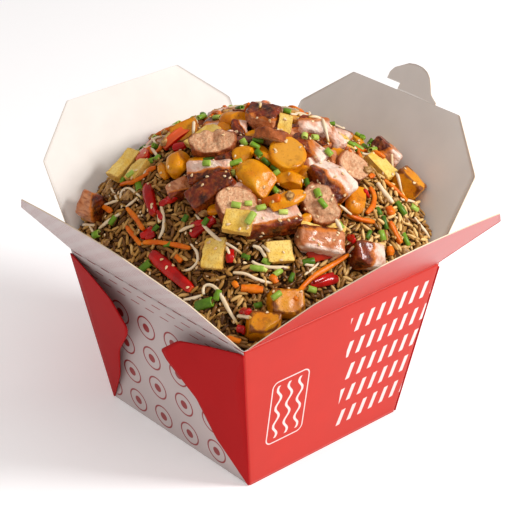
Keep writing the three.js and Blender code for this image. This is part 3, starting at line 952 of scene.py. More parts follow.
def joined(name, parts, finish_made, node_name):
    """One mesh from many shapes, each given as its points, its face sets and its masks."""
    starts = np.cumsum([0] + [len(points) for points, _, _ in parts])
    by_sides = {}
    for start, (_, face_sets, _) in zip(starts, parts):
        for faces in face_sets:
            by_sides.setdefault(faces.shape[1], []).append(faces + start)
    masks = {key: np.concatenate([masks[key] for _, _, masks in parts]) for key in parts[0][2]}
    return piece_on_heap(name, np.vstack([points for points, _, _ in parts]),
                         [np.vstack(sets) for sets in by_sides.values()],
                         finish_made, node_name, masks)


def lay_out(kind, finish_made, shape, rows, hidden_rows, hidden_from):
    """One piece for each numbered row of a table, and one for all the rows that lie on the
    hidden side. shape makes the points, faces and masks from a row and its order."""
    for order, row in enumerate(rows):
        name = f"{kind}_{order + 1:02d}"
        points, faces, masks = shape(order, *row)
        piece_on_heap(f"{name}_food", points, faces, finish_made, name, masks)
    joined(f"{kind}_more", [shape(hidden_from + order, *row)
                            for order, row in enumerate(hidden_rows)],
           finish_made, f"{kind}_01")


# ---- Roast pork ----
# Chunks cut from a roasted joint: pale fat and tan meat on the cut faces, and a dark glossy
# caramel crust on the outside, with a golden band where the two meet.
CRUST_DARK, CRUST_RED = paint(42, 9, 3), paint(128, 42, 10)
CRUST_GOLD, GLAZE = paint(206, 112, 30), paint(180, 92, 30)
FAT_WHITE, FAT_PINK = paint(242, 216, 198), paint(222, 166, 138)
MEAT_TAN, MEAT_BROWN = paint(210, 142, 98), paint(170, 98, 58)

pork, tree, shader = new_finish("roast pork", MEAT_TAN, 0.3, Coat_Weight=0.4,
                                Coat_Roughness=0.12, Specular_IOR_Level=OILY)
place = object_place(tree)
drawn_out = node(tree, "ShaderNodeMapping", {
    "Vector": place, "Rotation": (0.5, 0.3, 0.7), "Scale": (1.0, 0.28, 1.0)}).outputs["Vector"]
streak = patchy(tree, drawn_out, 620.0, 0.54, 0.14, 5.0)
meat = mixed(tree, streak, MEAT_TAN, MEAT_BROWN)
meat = mixed(tree, patchy(tree, place, 95.0, 0.52, 0.1) * 0.75, meat, GLAZE)
fat = mixed(tree, patchy(tree, drawn_out, 210.0, 0.52, 0.12, 5.0), FAT_WHITE, FAT_PINK)
flesh = mixed(tree, mask_of(tree, "fat"), meat, fat)
crust = mask_of(tree, "crust") + (patchy(tree, place, 300.0, 0.5, 0.3, 4.0) - 0.5) * 0.3
dark = crust.ranged(0.5, 0.82)
blotch = patchy(tree, place, 150.0, 0.5, 0.22, 2.0)
blister = patchy(tree, place, 420.0, 0.55, 0.14, 4.0)
skin = mixed(tree, blotch, CRUST_RED, CRUST_DARK)
skin = mixed(tree, blister * 0.26, skin, CRUST_GOLD)
shade = mixed(tree, crust.ranged(0.2, 0.45), flesh, CRUST_GOLD)
plug(tree, shader, {"Roughness": dark.ranged(0.0, 1.0, 0.36, 0.2)})
dressed(tree, shader, mixed(tree, dark, shade, skin), blister + (blotch + streak), 0.3, 0.8)

# Place and size, then crust and fat: each the way it faces, and how far out it begins.
NO_FAT = (0, 0, 1), 2.0
PORK = [
    ((23, 18, 5, -60, 0, 10), (17, 14, 14), (0.3, 0.1, 0.9), 0.25, *NO_FAT),
    ((42, -1, 4, -31, 0, 15), (18, 11, 12), (0, 0.7, 0.7), 0.7, (-0.3, -0.8, -0.4), -0.1),
    ((49, -11, 3, -86, 0, 0), (13, 9, 10), (-0.8, 0.5, 0), 0.55, (0.4, -0.9, 0.2), 0.3),
    ((28, -14, 3, -79, 0, 0), (21, 10, 8), (-0.5, 0.5, 0.7), 0.25, (0.3, -1.0, 0), 0.6),
    ((24, -34, 5, -82, 0, 0), (23, 17, 14), (-0.9, -0.2, -0.3), 0.15, (0.6, -0.3, 0.7), 0.05),
    ((83, -17, 6, -66, 0, 0), (17, 12, 12), (-0.3, 0.6, 0.7), 0.2, (0.3, -0.9, 0.2), 0.7),
    ((-19, -36, 4, -18, 0, -12), (28, 13, 11), (-0.3, -0.8, -0.5), 0.45, (-0.2, -0.5, 0.8), -0.3),
    ((-1, -53, 4, -31, 0, 0), (24, 13, 12), (0.2, 0.3, 0.9), 0.75, (-0.5, -0.6, -0.7), 0.7),
    ((-23, 8, 4, -44, 0, 10), (22, 13, 11), (-0.5, -0.6, -0.5), 0.2, (0.3, 0.2, 0.9), -0.1),
    ((-30, -1, 4, -14, 0, 0), (25, 13, 11), (-0.8, -0.3, 0.3), -0.05, (0.7, -0.2, 0.6), 0.2),
    ((-56, 74, 5, 0, 0, 10), (14, 12, 12), (0.5, -0.8, 0.2), 0.3, *NO_FAT),
    ((24, -64.5, 4, -21, 0, 0), (18, 13, 12), (-0.8, 0.1, 0.5), 0.1, (0.6, -0.8, 0.2), 0.0),
    ((-36, 20, 2.5, -20, 0, 0), (13, 9, 8), (-0.5, -0.6, -0.6), 0.4, *NO_FAT),
]
HIDDEN_PORK = [
    ((12, 46, -2.5, 20, 0, 8), (20, 14, 12), (0.2, 0.7, 0.7), 0.3, (0, 0, 1), 0.2),
    ((52, 30, -2.5, -50, 0, 0), (22, 13, 12), (0.7, 0.3, 0.4), 0.2, (-0.5, 0, 0.8), 0.1),
    ((70, 4, -2, 30, 0, -8), (19, 13, 11), (0.6, 0.6, 0), 0.3, (0, 0, 1), 0.0),
    ((30, 66, -2.5, 70, 0, 0), (18, 12, 12), (0.2, 0.9, 0.2), 0.1, (0, -0.5, 0.8), 0.2),
    ((74, 42, -2, 10, 0, 5), (21, 13, 12), (0.8, 0.4, 0.2), 0.2, *NO_FAT),
    ((-4, 78, -2.5, -40, 0, 0), (18, 13, 11), (-0.2, 0.9, 0.2), 0.2, (0.2, -0.4, 0.9), 0.3),
    ((56, 80, -1, 35, 0, 10), (19, 12, 11), (0.4, 0.6, 0.6), 0.2, (0, 0, 1), 0.4),
    ((88, 26, -1, -80, 0, 0), (17, 12, 11), (0.8, 0, 0.4), 0.3, *NO_FAT),
]


def pork_chunk(order, place, size, crust_way, crust_from, fat_way, fat_from):
    """Block with four knife cuts, and masks that rise toward its crust and its fat."""
    unit = chopped(PORK_BLOCK, 40 + order, 4, 0.9, 1.25)
    unit[:, 1:] *= 1 + 0.12 * np.sin(order * 2.1) * unit[:, :1]
    rough = wobble(unit * 6, 40 + order, 5.0) * 0.1
    masks = {"crust": smooth_step(facing(unit, place, crust_way) + rough, crust_from - 0.3,
                                  crust_from + 0.3),
             "fat": smooth_step(facing(unit, place, fat_way) + rough, fat_from - 0.1,
                                fat_from + 0.12)}
    points = seated(unit, PORK_FACES, size, place, ((8, 0.45), (3.2, 0.2)), 60 + 3 * order)
    return points, PORK_FACES, masks


PORK_BLOCK, PORK_FACES = cut_block(22, 0.3)
lay_out("pork", pork, pork_chunk, PORK, HIDDEN_PORK, 20)


# ---- Sausage slices ----
# Thick round cuts of pork sausage: finely ground pink-tan faces with small cracks, and a
# browned glossy skin round the rim.
SAUSAGE_FACE, SAUSAGE_PALE = paint(206, 148, 108), paint(226, 182, 140)
SAUSAGE_SKIN, SAUSAGE_SEAR = paint(172, 92, 46), paint(112, 48, 24)

sausage, tree, shader = new_finish("sausage", SAUSAGE_FACE, 0.38, Specular_IOR_Level=OILY)
place = object_place(tree)
grain = patchy(tree, place, 620.0, 0.52, 0.16, 6.0)
speck = patchy(tree, place, 1300.0, 0.64, 0.04, 2.0)
face = mixed(tree, grain, SAUSAGE_FACE, SAUSAGE_PALE)
face = mixed(tree, patchy(tree, place, 90.0, 0.56, 0.12, 4.0) * 0.3, face, SAUSAGE_SKIN)
face = mixed(tree, speck * 0.3, face, SAUSAGE_SEAR)
casing = mixed(tree, patchy(tree, place, 130.0, 0.54, 0.15, 4.0), SAUSAGE_SKIN, SAUSAGE_SEAR)
skin = mask_of(tree, "skin")
plug(tree, shader, {"Roughness": skin.ranged(0.0, 1.0, 0.48, 0.28)})
dressed(tree, shader, mixed(tree, skin, face, casing), grain - speck, 0.3, 0.8)

SAUSAGE = [
    ((13, 0, 6, 40, 50, 0), (20, 18, 6)),
    ((44, -30, 4.5, -41, 0, 15), (18, 16, 7)),
    ((10, -42, 4, -90, 0, 20), (22, 17, 9)),
    ((-28, -20, 4.5, -50, 20, 0), (22, 19, 12)),
    ((-10, 19, 4.5, -46, 10, 15), (24, 15, 10)),
]
HIDDEN_SAUSAGE = [
    ((34, 42, -1, 20, 8, 0), (20, 17, 9)), ((72, 22, -1, -30, 6, 0), (19, 17, 8)),
    ((10, 66, -1, 60, 8, 0), (21, 17, 8)), ((52, 58, -1, 0, -6, 6), (20, 16, 10)),
    ((80, 62, 0, 40, 6, 0), (18, 16, 8)),
]


def sausage_slice(order, place, size):
    """Disc with a slightly sunken, uneven face, and a mask that covers its rim with skin."""
    unit = SLICE.copy()
    radius = np.hypot(unit[:, 0], unit[:, 1])
    ends = np.abs(unit[:, 2]) > 0.9
    unit[:, 2] *= 1 + ends * 0.05 * wobble(unit * 8, 90 + order, 5.0)
    unit[:, 0] += 0.14 * unit[:, 2] * np.cos(order)
    lumps = ((11, 1.5), (4.5, 0.5), (2.2, 0.1))
    points = seated(unit, SLICE_FACES, size, place, lumps, 120 + 3 * order)
    return points, SLICE_FACES, {"skin": smooth_step(radius, 0.86, 0.98)}


SLICE, SLICE_FACES = cut_slice(64, 0.16)
lay_out("sausage", sausage, sausage_slice, SAUSAGE, HIDDEN_SAUSAGE, 10)


# ---- Fried plantain ----
# Soft golden slices, wedges and cubes of ripe plantain, glossy with oil, browned along their
# edges and freckled with sear marks.
PLANTAIN_GOLD, PLANTAIN_ORANGE = paint(226, 154, 8), paint(208, 116, 4)
PLANTAIN_CUT, PLANTAIN_SEAR = paint(212, 146, 46), paint(104, 46, 10)

plantain, tree, shader = new_finish("fried plantain", PLANTAIN_GOLD, 0.28, Coat_Weight=0.12,
                                    Coat_Roughness=0.12, Specular_IOR_Level=OILY)
place = object_place(tree)
shade = mixed(tree, patchy(tree, place, 110.0), PLANTAIN_GOLD, PLANTAIN_ORANGE)
shade = mixed(tree, mask_of(tree, "face"), shade, PLANTAIN_CUT)
char = mask_of(tree, "edge") + (patchy(tree, place, 230.0, 0.5, 0.25, 6.0) - 0.5)
shade = mixed(tree, char.ranged(0.22, 0.85, 0.0, 0.92), shade, PLANTAIN_SEAR)
shade = mixed(tree, patchy(tree, place, 1100.0, 0.66, 0.03) * 0.6, shade, PLANTAIN_SEAR)
dressed(tree, shader, shade, patchy(tree, place, 1000.0, 0.55, 0.15), 0.12, 0.6)

# Place, size, kind of cut, and how browned its edges are.
ROUND_CUT, WEDGE_CUT, CUBE_CUT = "round", "wedge", "cube"
PLANTAIN = [
    ((11, -14, 4.5, 50, 0, 0), (22, 19, 9), ROUND_CUT, 0.3),
    ((-11, -16, 4.5, -86, 0, 0), (25, 16, 11), WEDGE_CUT, 0.35),
    ((-5, 1, 4, -26, 0, 0), (13, 9, 8), WEDGE_CUT, 0.2),
    ((4, -26, 4, -46, 0, 0), (17, 9, 8), WEDGE_CUT, 0.35),
    ((0, -8, 4.5, -76, 0, 0), (10, 6, 6), WEDGE_CUT, 0.2),
    ((36, -44, 3.5, 42, 0, 0), (19, 10, 8), WEDGE_CUT, 0.3),
    ((-8, -34, 11, -2, 0, 0), (20, 9, 5), WEDGE_CUT, 0.3),
    ((13, 31, 4, -56, 0, 0), (16, 11, 9), WEDGE_CUT, 0.3),
    ((-27, 31, 4.5, 34, 0, 0), (15, 12, 11), WEDGE_CUT, 0.6),
    ((-32, 39, 2.5, 54, 0, 0), (12, 5, 8), WEDGE_CUT, 0.4),
    ((83, -38, 3.5, -76, 0, 0), (16, 12, 12), CUBE_CUT, 1.0),
    ((-36, -66, 2.5, -26, 0, 0), (17, 13, 10), CUBE_CUT, 0.8),
    ((-54.5, -69, 2.5, -36, 0, 0), (16, 12, 11), CUBE_CUT, 0.9),
    ((-5, 52, 4, -36, 0, 50), (15, 10, 3.5), CUBE_CUT, 0.7),
]
HIDDEN_PLANTAIN = [
    ((26, 52, -1, 30, 0, 0), (20, 15, 9), ROUND_CUT, 0.2),
    ((48, 44, -1, -20, 0, 0), (17, 12, 9), WEDGE_CUT, 0.4),
    ((44, 14, 1, 60, 0, 0), (21, 17, 9), ROUND_CUT, 0.2),
    ((66, 66, -1, 15, 0, 0), (15, 12, 11), CUBE_CUT, 0.9),
    ((16, 84, -1.5, -35, 0, 0), (16, 12, 10), CUBE_CUT, 0.8),
    ((86, 8, 0, 75, 0, 0), (17, 11, 9), WEDGE_CUT, 0.4),
    ((40, 92, -1, 10, 0, 0), (15, 12, 10), CUBE_CUT, 0.8),
]
CUT_SHAPES = {ROUND_CUT: cut_slice(56, 0.25), WEDGE_CUT: cut_block(22, 0.85),
              CUBE_CUT: cut_block(22, 0.2)}


def plantain_cut(order, place, size, kind, browned):
    """Slice, wedge or cube, the wedge with knife cuts, and masks for its rim and edges."""
    unit, faces = CUT_SHAPES[kind]
    ranked = np.sort(np.abs(unit), axis=1)
    edge = smooth_step(ranked[:, 1] + 0.35 * ranked[:, 0], 0.72, 1.15)
    flat = 1 - smooth_step(np.hypot(unit[:, 0], unit[:, 1]), 0.72, 0.92)
    if kind == WEDGE_CUT:
        unit = chopped(unit, 170 + order, 3, 0.6, 0.85)
        unit[:, 1] *= 1 + 0.25 * np.cos(order * 1.7) * unit[:, 0]
    points = seated(unit, faces, size, place, ((9, 0.3), (3.5, 0.07)), 160 + 3 * order)
    return points, faces, {"edge": edge * browned, "face": flat * (kind == ROUND_CUT)}


lay_out("plantain", plantain, plantain_cut, PLANTAIN, HIDDEN_PLANTAIN, 20)


# ---- Egg ----
# Squares cut from a thin folded omelette: pale yellow, finely pitted, browned at the edges.
EGG_YELLOW, EGG_PALE, EGG_BROWN = paint(230, 184, 72), paint(240, 208, 118), paint(180, 112, 30)

egg, tree, shader = new_finish("egg", EGG_YELLOW, 0.4, Specular_IOR_Level=OILY)
place = object_place(tree)
cloud = patchy(tree, place, 200.0, 0.5, 0.2, 5.0)
pits = patchy(tree, place, 1200.0, 0.58, 0.08, 4.0)
shade = mixed(tree, cloud, EGG_YELLOW, EGG_PALE)
shade = mixed(tree, pits * 0.35, shade, EGG_BROWN)
shade = mixed(tree, mask_of(tree, "edge"), shade, EGG_BROWN)
dressed(tree, shader, shade, cloud - pits, 0.2, 0.7)

EGG = [
    ((26, 4, 6, 44, -40, 0), (13, 7, 3)),
    ((73, -27, 3, -77, 0, 10), (17, 11, 4)),
    ((-33, -27, 11, -50, 0, 0), (14, 12, 4)),
    ((-3, -47, 4, -41, 0, 0), (16, 5, 4)),
    ((13, -51, 2.5, -50, 0, 0), (12, 6, 4)),
    ((-7, 34, 3.5, -6, 0, 0), (18, 10, 4)),
    ((-32, 74, 4, -6, 0, 20), (19, 9, 6)),
    ((-34, 61, 2, 0, 0, 0), (13, 10, 5)),
    ((-49, -24, 2, 38, 0, 0), (16, 11, 4)),
    ((-24, -48, 2, -21, 0, 0), (13, 11, 4)),
]
HIDDEN_EGG = [
    ((-4, 64, 1, 30, 0, 0), (15, 11, 4)), ((42, 74, 1, -30, 0, 0), (14, 12, 4)),
    ((88, 44, 1, 20, 0, 0), (15, 11, 4)), ((58, -10, 2, 60, 0, 0), (14, 10, 4)),
    ((28, 92, 1, 10, 0, 0), (14, 11, 4)), ((91, -4, 1, -40, 0, 0), (13, 10, 4)),
    ((68, 86, 1, 50, 0, 0), (13, 11, 4)),
]


def egg_square(order, place, size):
    """Thin square with crisp cut sides, bowed a little, and a mask along its edges."""
    unit = chopped(EGG_BLOCK, 190 + order, 2, 1.15, 1.4)
    edge = smooth_step(np.abs(unit[:, :2]).max(1), 0.9, 1.0) * 0.4
    unit[:, 2] += 0.35 * (unit[:, 0] ** 2 - 0.5) * np.sin(order * 1.3) * 4 / size[2]
    points = seated(unit, EGG_FACES, size, place, ((7, 0.4), (2.6, 0.14)), 210 + 3 * order)
    return points, EGG_FACES, {"edge": edge}


EGG_BLOCK, EGG_FACES = cut_block(20, 0.1)
lay_out("egg", egg, egg_square, EGG, HIDDEN_EGG, 12)


# ---- Red pepper ----
# Strips cut from the pod: glossy deep red skin outside, paler orange flesh inside, curled
# along their length, with blunt cut ends.
PEPPER_RED, PEPPER_DEEP, PEPPER_FLESH = paint(196, 16, 8), paint(140, 6, 4), paint(226, 96, 44)

pepper, tree, shader = new_finish("red pepper", PEPPER_RED, 0.2, Coat_Weight=0.2,
                                  Coat_Roughness=0.06, Specular_IOR_Level=OILY)
depth = patchy(tree, object_place(tree), 140.0)
shade = mixed(tree, depth, PEPPER_RED, PEPPER_DEEP)
shade = mixed(tree, mask_of(tree, "flesh"), shade, PEPPER_FLESH)
dressed(tree, shader, shade, depth, 0.3, 0.5)

# Place, size, curl, and how much of the inner flesh shows on the upper side.
PEPPER = [
    ((-64, -5, 2, 84, 0, 0), (35, 6.6, 3.5), 1, 0.0),
    ((-45, 37, 2, 52, 0, 0), (22, 5.6, 3), 2, 0.0),
    ((-9, 53, 3, -16, 0, 30), (20, 5, 3), 3, 0.8),
    ((-16, 44, 3, -66, 0, 0), (8, 5, 2.5), 0, 0.0),
    ((-23, 67, 3, 19, 0, 0), (11, 8, 3), 1, 0.5),
    ((-44, -8, 1.5, -17, 0, 0), (15, 5, 3), 1, 0.0),
    ((-57, 25, 1.5, -41, 0, 0), (8, 5, 2.5), 0, 0.0),
    ((2, -57, 2, 0, 0, 0), (21, 9, 3), 3, 0.2),
    ((-7, -66, 1.5, -11, 0, 0), (17, 5, 2.5), 1, 0.0),
]
HIDDEN_PEPPER = [
    ((2, 88, 1.5, 20, 0, 0), (22, 7, 3), 2, 0.0), ((48, 66, 1, -50, 0, 0), (20, 6, 3), 1, 0.0),
    ((76, 72, 1, 35, 0, 0), (24, 7, 3), 2, 0.4), ((93, 32, 1, 80, 0, 0), (20, 6, 3), 1, 0.0),
    ((58, 93, 1, -10, 0, 0), (21, 7, 3), 1, 0.0), ((60, 26, 1, 10, 0, 0), (18, 6, 3), 2, 0.5),
]


def pepper_strip(order, place, size, curl, inner):
    """Long block cupped across its width and curled along its length, flesh inside."""
    unit = PEPPER_BLOCK.copy()
    under = smooth_step(-unit[:, 2], 0.5, 0.9)
    over = inner * smooth_step(unit[:, 2], 0.4, 0.8)
    ends = smooth_step(np.abs(unit[:, 0]), 0.95, 1.0) * 0.6
    unit[:, 0] = np.sign(unit[:, 0]) * np.abs(unit[:, 0]) ** 0.45
    unit[:, 1] *= 1 - 0.2 * np.abs(unit[:, 0]) ** 3 + 0.12 * np.sin(unit[:, 0] * 2.5 + order)
    unit[:, 2] += (0.5 - unit[:, 0] ** 2) * curl * 2 / size[2]
    unit[:, 2] -= unit[:, 1] ** 2 * 0.7 * (1 - inner * 2)
    points = seated(unit, PEPPER_FACES, size, place, ((10, 0.4),), 250 + 3 * order)
    return points, PEPPER_FACES, {"flesh": np.maximum(np.maximum(under, over), ends)}


PEPPER_BLOCK, PEPPER_FACES = cut_block(20, 0.42)
lay_out("pepper", pepper, pepper_strip, PEPPER, HIDDEN_PEPPER, 12)


# ---- Small cuts between the larger ones ----
# Scraps of pork and plantain fill the gaps of the pile at the crown, so that no rice shows
# between its pieces. Each scrap lies where no larger piece does.
SCRAP_MIDDLE, SCRAP_REACH = np.array([8.0, -7.0]), np.array([44.0, 42.0])
SCRAP_TRIES, SCRAP_APART = 900, 6.4


def clear_of_pieces(points, grow):
    """True where a point is outside every cut piece, grown by a margin."""
    free = np.ones(len(points), bool)
    for middle, axes, half, _, _ in SEATED:
        local = (points - middle) @ axes / (half + grow)
        free &= (np.abs(local) ** 4).sum(-1) > 1
    return free


rng = np.random.default_rng(33)
tries = SCRAP_MIDDLE + SCRAP_REACH * rng.uniform(-1, 1, (SCRAP_TRIES, 2))
tries = tries[(((tries - SCRAP_MIDDLE) / SCRAP_REACH) ** 2).sum(1) < 1]
tries = np.c_[tries, heap_height(tries[:, 0], tries[:, 1])]
tries = tries[clear_of_pieces(tries + heap_normal(tries[:, 0], tries[:, 1]) * 3, 0.6)]
scraps = []
for spot in tries:
    if all(np.linalg.norm(spot - other) > SCRAP_APART for other in scraps):
        scraps.append(spot)
pork_scraps, plantain_scraps = [], []
for order, (x, y, _) in enumerate(scraps):
    place = (x, y, rng.uniform(1.0, 3.0), *rng.uniform((-180, -25, -25), (180, 25, 25)))
    size = rng.uniform((8, 6.5, 6), (11.5, 8.5, 8))
    if order % 5 < 2:
        plantain_scraps.append(plantain_cut(60 + order, place, size, WEDGE_CUT, 0.35))
    else:
        pork_scraps.append(pork_chunk(60 + order, place, size, rng.normal(size=3), 0.1,
                                      rng.normal(size=3), 0.3))
joined("pork_scraps", pork_scraps, pork, "pork_01")
joined("plantain_scraps", plantain_scraps, plantain, "plantain_01")


# ---- Loose rice ----
# Cooked long grains, 6 to 7 mm long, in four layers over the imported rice. The grains of a
# layer do not cross, each layer lies a little higher, and all keep clear of the cut pieces.
GRAIN_LAYERS = {"low": -1.9, "middle": -0.9, "upper": 0.1, "top": 1.0}
GRAIN_TRIES, SIDE_TRIES, CORNER_LEAN = 7000, 2600, 0.4
GRAIN_HALF = np.array([3.35, 1.06, 0.98])
GRAIN_APART, GRAIN_TILT = 1.9, 0.16

grain_ball, (grain_quads, grain_fans) = ball(8, 6)
grain_unit = grain_ball[:, [2, 0, 1]]
grain_unit[:, 0] = np.sign(grain_unit[:, 0]) * np.abs(grain_unit[:, 0]) ** 0.72


def repeated(faces, count, size):
    """The same faces for each of many copies of a shape with size points."""
    return (faces[None] + (np.arange(count) * size)[:, None, None]).reshape(-1, faces.shape[1])


def scattered(rng, count, margin):
    """Random places on the heap, spread evenly over its slope, clear of walls and flaps."""
    found = []
    while sum(map(len, found)) < count:
        plan = rng.uniform((-76, -78), (100, 100), (count * 2, 2))
        height = heap_height(plan[:, 0], plan[:, 1])
        points = np.c_[plan, height]
        steep = 1 / heap_normal(plan[:, 0], plan[:, 1])[:, 2]
        keep = (room_left(points) > margin) & (rng.random(len(plan)) < steep / 3.2)
        found.append(points[keep])
    return np.vstack(found)[:count]


def tangent_frames(rng, normals, tilt):
    """Random heading on the slope, tipped by a random part of tilt: three ways in columns."""
    count = len(normals)
    loose = rng.normal(size=(count, 3))
    along = loose - (loose * normals).sum(-1, keepdims=True) * normals
    along /= np.linalg.norm(along, axis=1, keepdims=True)
    along = along + normals * rng.normal(0, tilt, (count, 1))
    along /= np.linalg.norm(along, axis=1, keepdims=True)
    across = np.cross(normals, along)
    across /= np.linalg.norm(across, axis=1, keepdims=True)
    return np.stack([along, across, np.cross(along, across)], -1)


def steep_side(rng, count):
    """Random places and outward ways on the bed's side over the rim. Where it leans on a flap
    the way is the flap's own, and in the open corner between two flaps it points up a little."""
    rings = bed_points[(len(skirt) - 1) * BED_AROUND:(len(skirt) + 1) * BED_AROUND]
    low, high = rings.reshape(2, BED_AROUND, 3)
    past_right, past_back = (high[:, :2] > RIM_HALF).T
    ways = np.c_[bed_ways, np.full(BED_AROUND, CORNER_LEAN)]
    for leaning, axis, side in ((past_right & ~past_back, 0, RIGHT_SIDE),
                                (past_back & ~past_right, 1, BACK)):
        lean = np.radians(ROOM_LEAN[side])
        ways[leaning] = np.cos(lean) * np.eye(3)[axis] - [0, 0, np.sin(lean)]
    picked = rng.choice(np.flatnonzero(past_right | past_back), count)
    share = rng.random((count, 1))
    ways /= np.linalg.norm(ways, axis=1, keepdims=True)
    after = (picked + 1) % BED_AROUND
    along = rng.random((count, 1))
    foot = low[picked] * (1 - along) + low[after] * along
    head = high[picked] * (1 - along) + high[after] * along
    return foot * (1 - share) + head * share, ways[picked]


def kept_apart(samples, least):
    """Numbers of the shapes kept when each next one must lie clear of all kept before it.
    Each shape is known by a few sample points."""
    taken = np.full(samples.shape, np.inf)
    kept = []
    for number, sample in enumerate(samples):
        near = taken[:len(kept), None] - sample[None, :, None]
        if not kept or (near ** 2).sum(-1).min() > least ** 2:
            taken[len(kept)] = sample
            kept.append(number)
    return kept


for order, (layer, lift) in enumerate(GRAIN_LAYERS.items()):
    rng = np.random.default_rng(500 + order)
    spots = scattered(rng, GRAIN_TRIES, 1.6)
    normals = heap_normal(spots[:, 0], spots[:, 1])
    side_spots, side_normals = steep_side(rng, SIDE_TRIES)
    spots, normals = np.vstack([spots, side_spots]), np.vstack([normals, side_normals])
    spots = spots + normals * (lift + rng.uniform(-0.35, 0.35, (len(spots), 1)))
    frames = tangent_frames(rng, normals, GRAIN_TILT)
    halves = GRAIN_HALF * rng.uniform(0.84, 1.1, (len(spots), 1))
    ends = frames[:, :, 0] * halves[:, :1]
    keep = (clear_of_pieces(spots, 0.5) & clear_of_pieces(spots + ends * 0.8, 0.1)
            & clear_of_pieces(spots - ends * 0.8, 0.1)
            & (room_left(spots + ends) > 0.4) & (room_left(spots - ends) > 0.4))
    spots, frames, halves, ends = spots[keep], frames[keep], halves[keep], ends[keep]
    kept = kept_apart(spots[:, None] + ends[:, None] * np.array([-0.62, 0, 0.62])[:, None],
                      GRAIN_APART)
    spots, frames, halves = spots[kept], frames[kept], halves[kept]
    bend = rng.uniform(-0.25, 0.25, (len(spots), 1))
    local = grain_unit[None] * halves[:, None]
    local[..., 1] += bend * (grain_unit[None, :, 0] ** 2 - 0.4) * 1.6
    points = spots[:, None] + np.einsum("nki,nji->nkj", local, frames)
    # Painted light: grains are paler toward the camera's right, the side the key lamp lights.
    pale = 0.3 * smooth_step(spots @ RIGHT, 15, 85)
    tones = np.repeat(rng.uniform(0.1, 0.9, len(spots)) + pale, len(grain_unit))
    piece_on_heap(f"rice_{layer}", points.reshape(-1, 3), [
        repeated(grain_quads, len(spots), len(grain_unit)),
        repeated(grain_fans, len(spots), len(grain_unit))],
        rice_finish(f"{layer} rice", 0.0), "rice", {"tone": tones})


# ---- Scallion rings ----
# Short hollow lengths cut from green scallion leaves, from pale to dark green, that lie on
# their sides where they fell. Each is placed by the picture point at which it is seen.
GRAIN_TOP, REST_MARGIN = 1.0, 0.8


def rest_tree():
    """Search tree of what small things lie on, in mm: the grains' tops and the cut pieces."""
    heap_top = kept_in(bed_shape, REST_MARGIN)
    heap_top[:, 2] += BED_DROP + GRAIN_TOP
    points, faces = [heap_top], grid_faces(bed_rows, BED_AROUND, closed=True).tolist()
    faces += bed_cap.tolist()
    count = len(heap_top)
    for _, _, _, piece_points, face_sets in SEATED:
        for face_set in face_sets:
            faces += (face_set + count).tolist()
        points.append(piece_points)
        count += len(piece_points)
    return BVHTree.FromPolygons(np.vstack(points).tolist(), faces)


CARRIER = rest_tree()


def seen_on(across, down):
    """Point and upright where the line from the eye through a picture point meets the food."""
    offset = RIGHT * (across - IMAGE_SIDE / 2) + UP * (IMAGE_SIDE / 2 - down)
    point, upright, _, _ = CARRIER.ray_cast(Vector(EYE), Vector(
        offset * FILM / LENS / IMAGE_SIDE - NEAR))
    return np.array(point), np.array(upright)


def dropped_on(x, y):
    """Point and upright where something that falls at a place on the plan comes to rest."""
    point, upright, _, _ = CARRIER.ray_cast(Vector((x, y, 300.0)), Vector((0, 0, -1)))
    return (np.array(point), np.array(upright)) if point else None


def random_rests(seed, count, keep_out):
    """Points and uprights of random rests, outside the part of the plan that keep_out marks."""
    rng = np.random.default_rng(seed)
    spots = scattered(rng, count * 3, 4.0)
    spots = spots[~keep_out(spots)][:count]
    return [rest for rest in (dropped_on(x, y) for x, y, _ in spots) if rest]


def seen_part(spots):
    """True where the slope of the heap can be seen in the picture."""
    return (heap_normal(spots[:, 0], spots[:, 1]) @ NEAR) > 0.42


RING_AROUND = 14
RING_PROFILE = np.array([[-1, 0.86], [-0.94, 1], [0.94, 1], [1, 0.86], [1, 0.72], [0.9, 0.62],
                         [-0.9, 0.62], [-1, 0.72]])
RING_FLATTEN = 0.78
LEAF_GREEN, LEAF_DARK, LEAF_PALE = paint(112, 152, 34), paint(34, 70, 16), paint(196, 210, 104)

scallion, tree, shader = new_finish("scallion", LEAF_GREEN, 0.3, Specular_IOR_Level=OILY)
vein = patchy(tree, object_place(tree), 500.0, 0.5, 0.25)
shade = ramped(tree, mask_of(tree, "tone") + vein * 0.12, LEAF_DARK, LEAF_PALE,
               ((0.55, LEAF_GREEN),))
dressed(tree, shader, shade, vein, 0.1, 0.5)

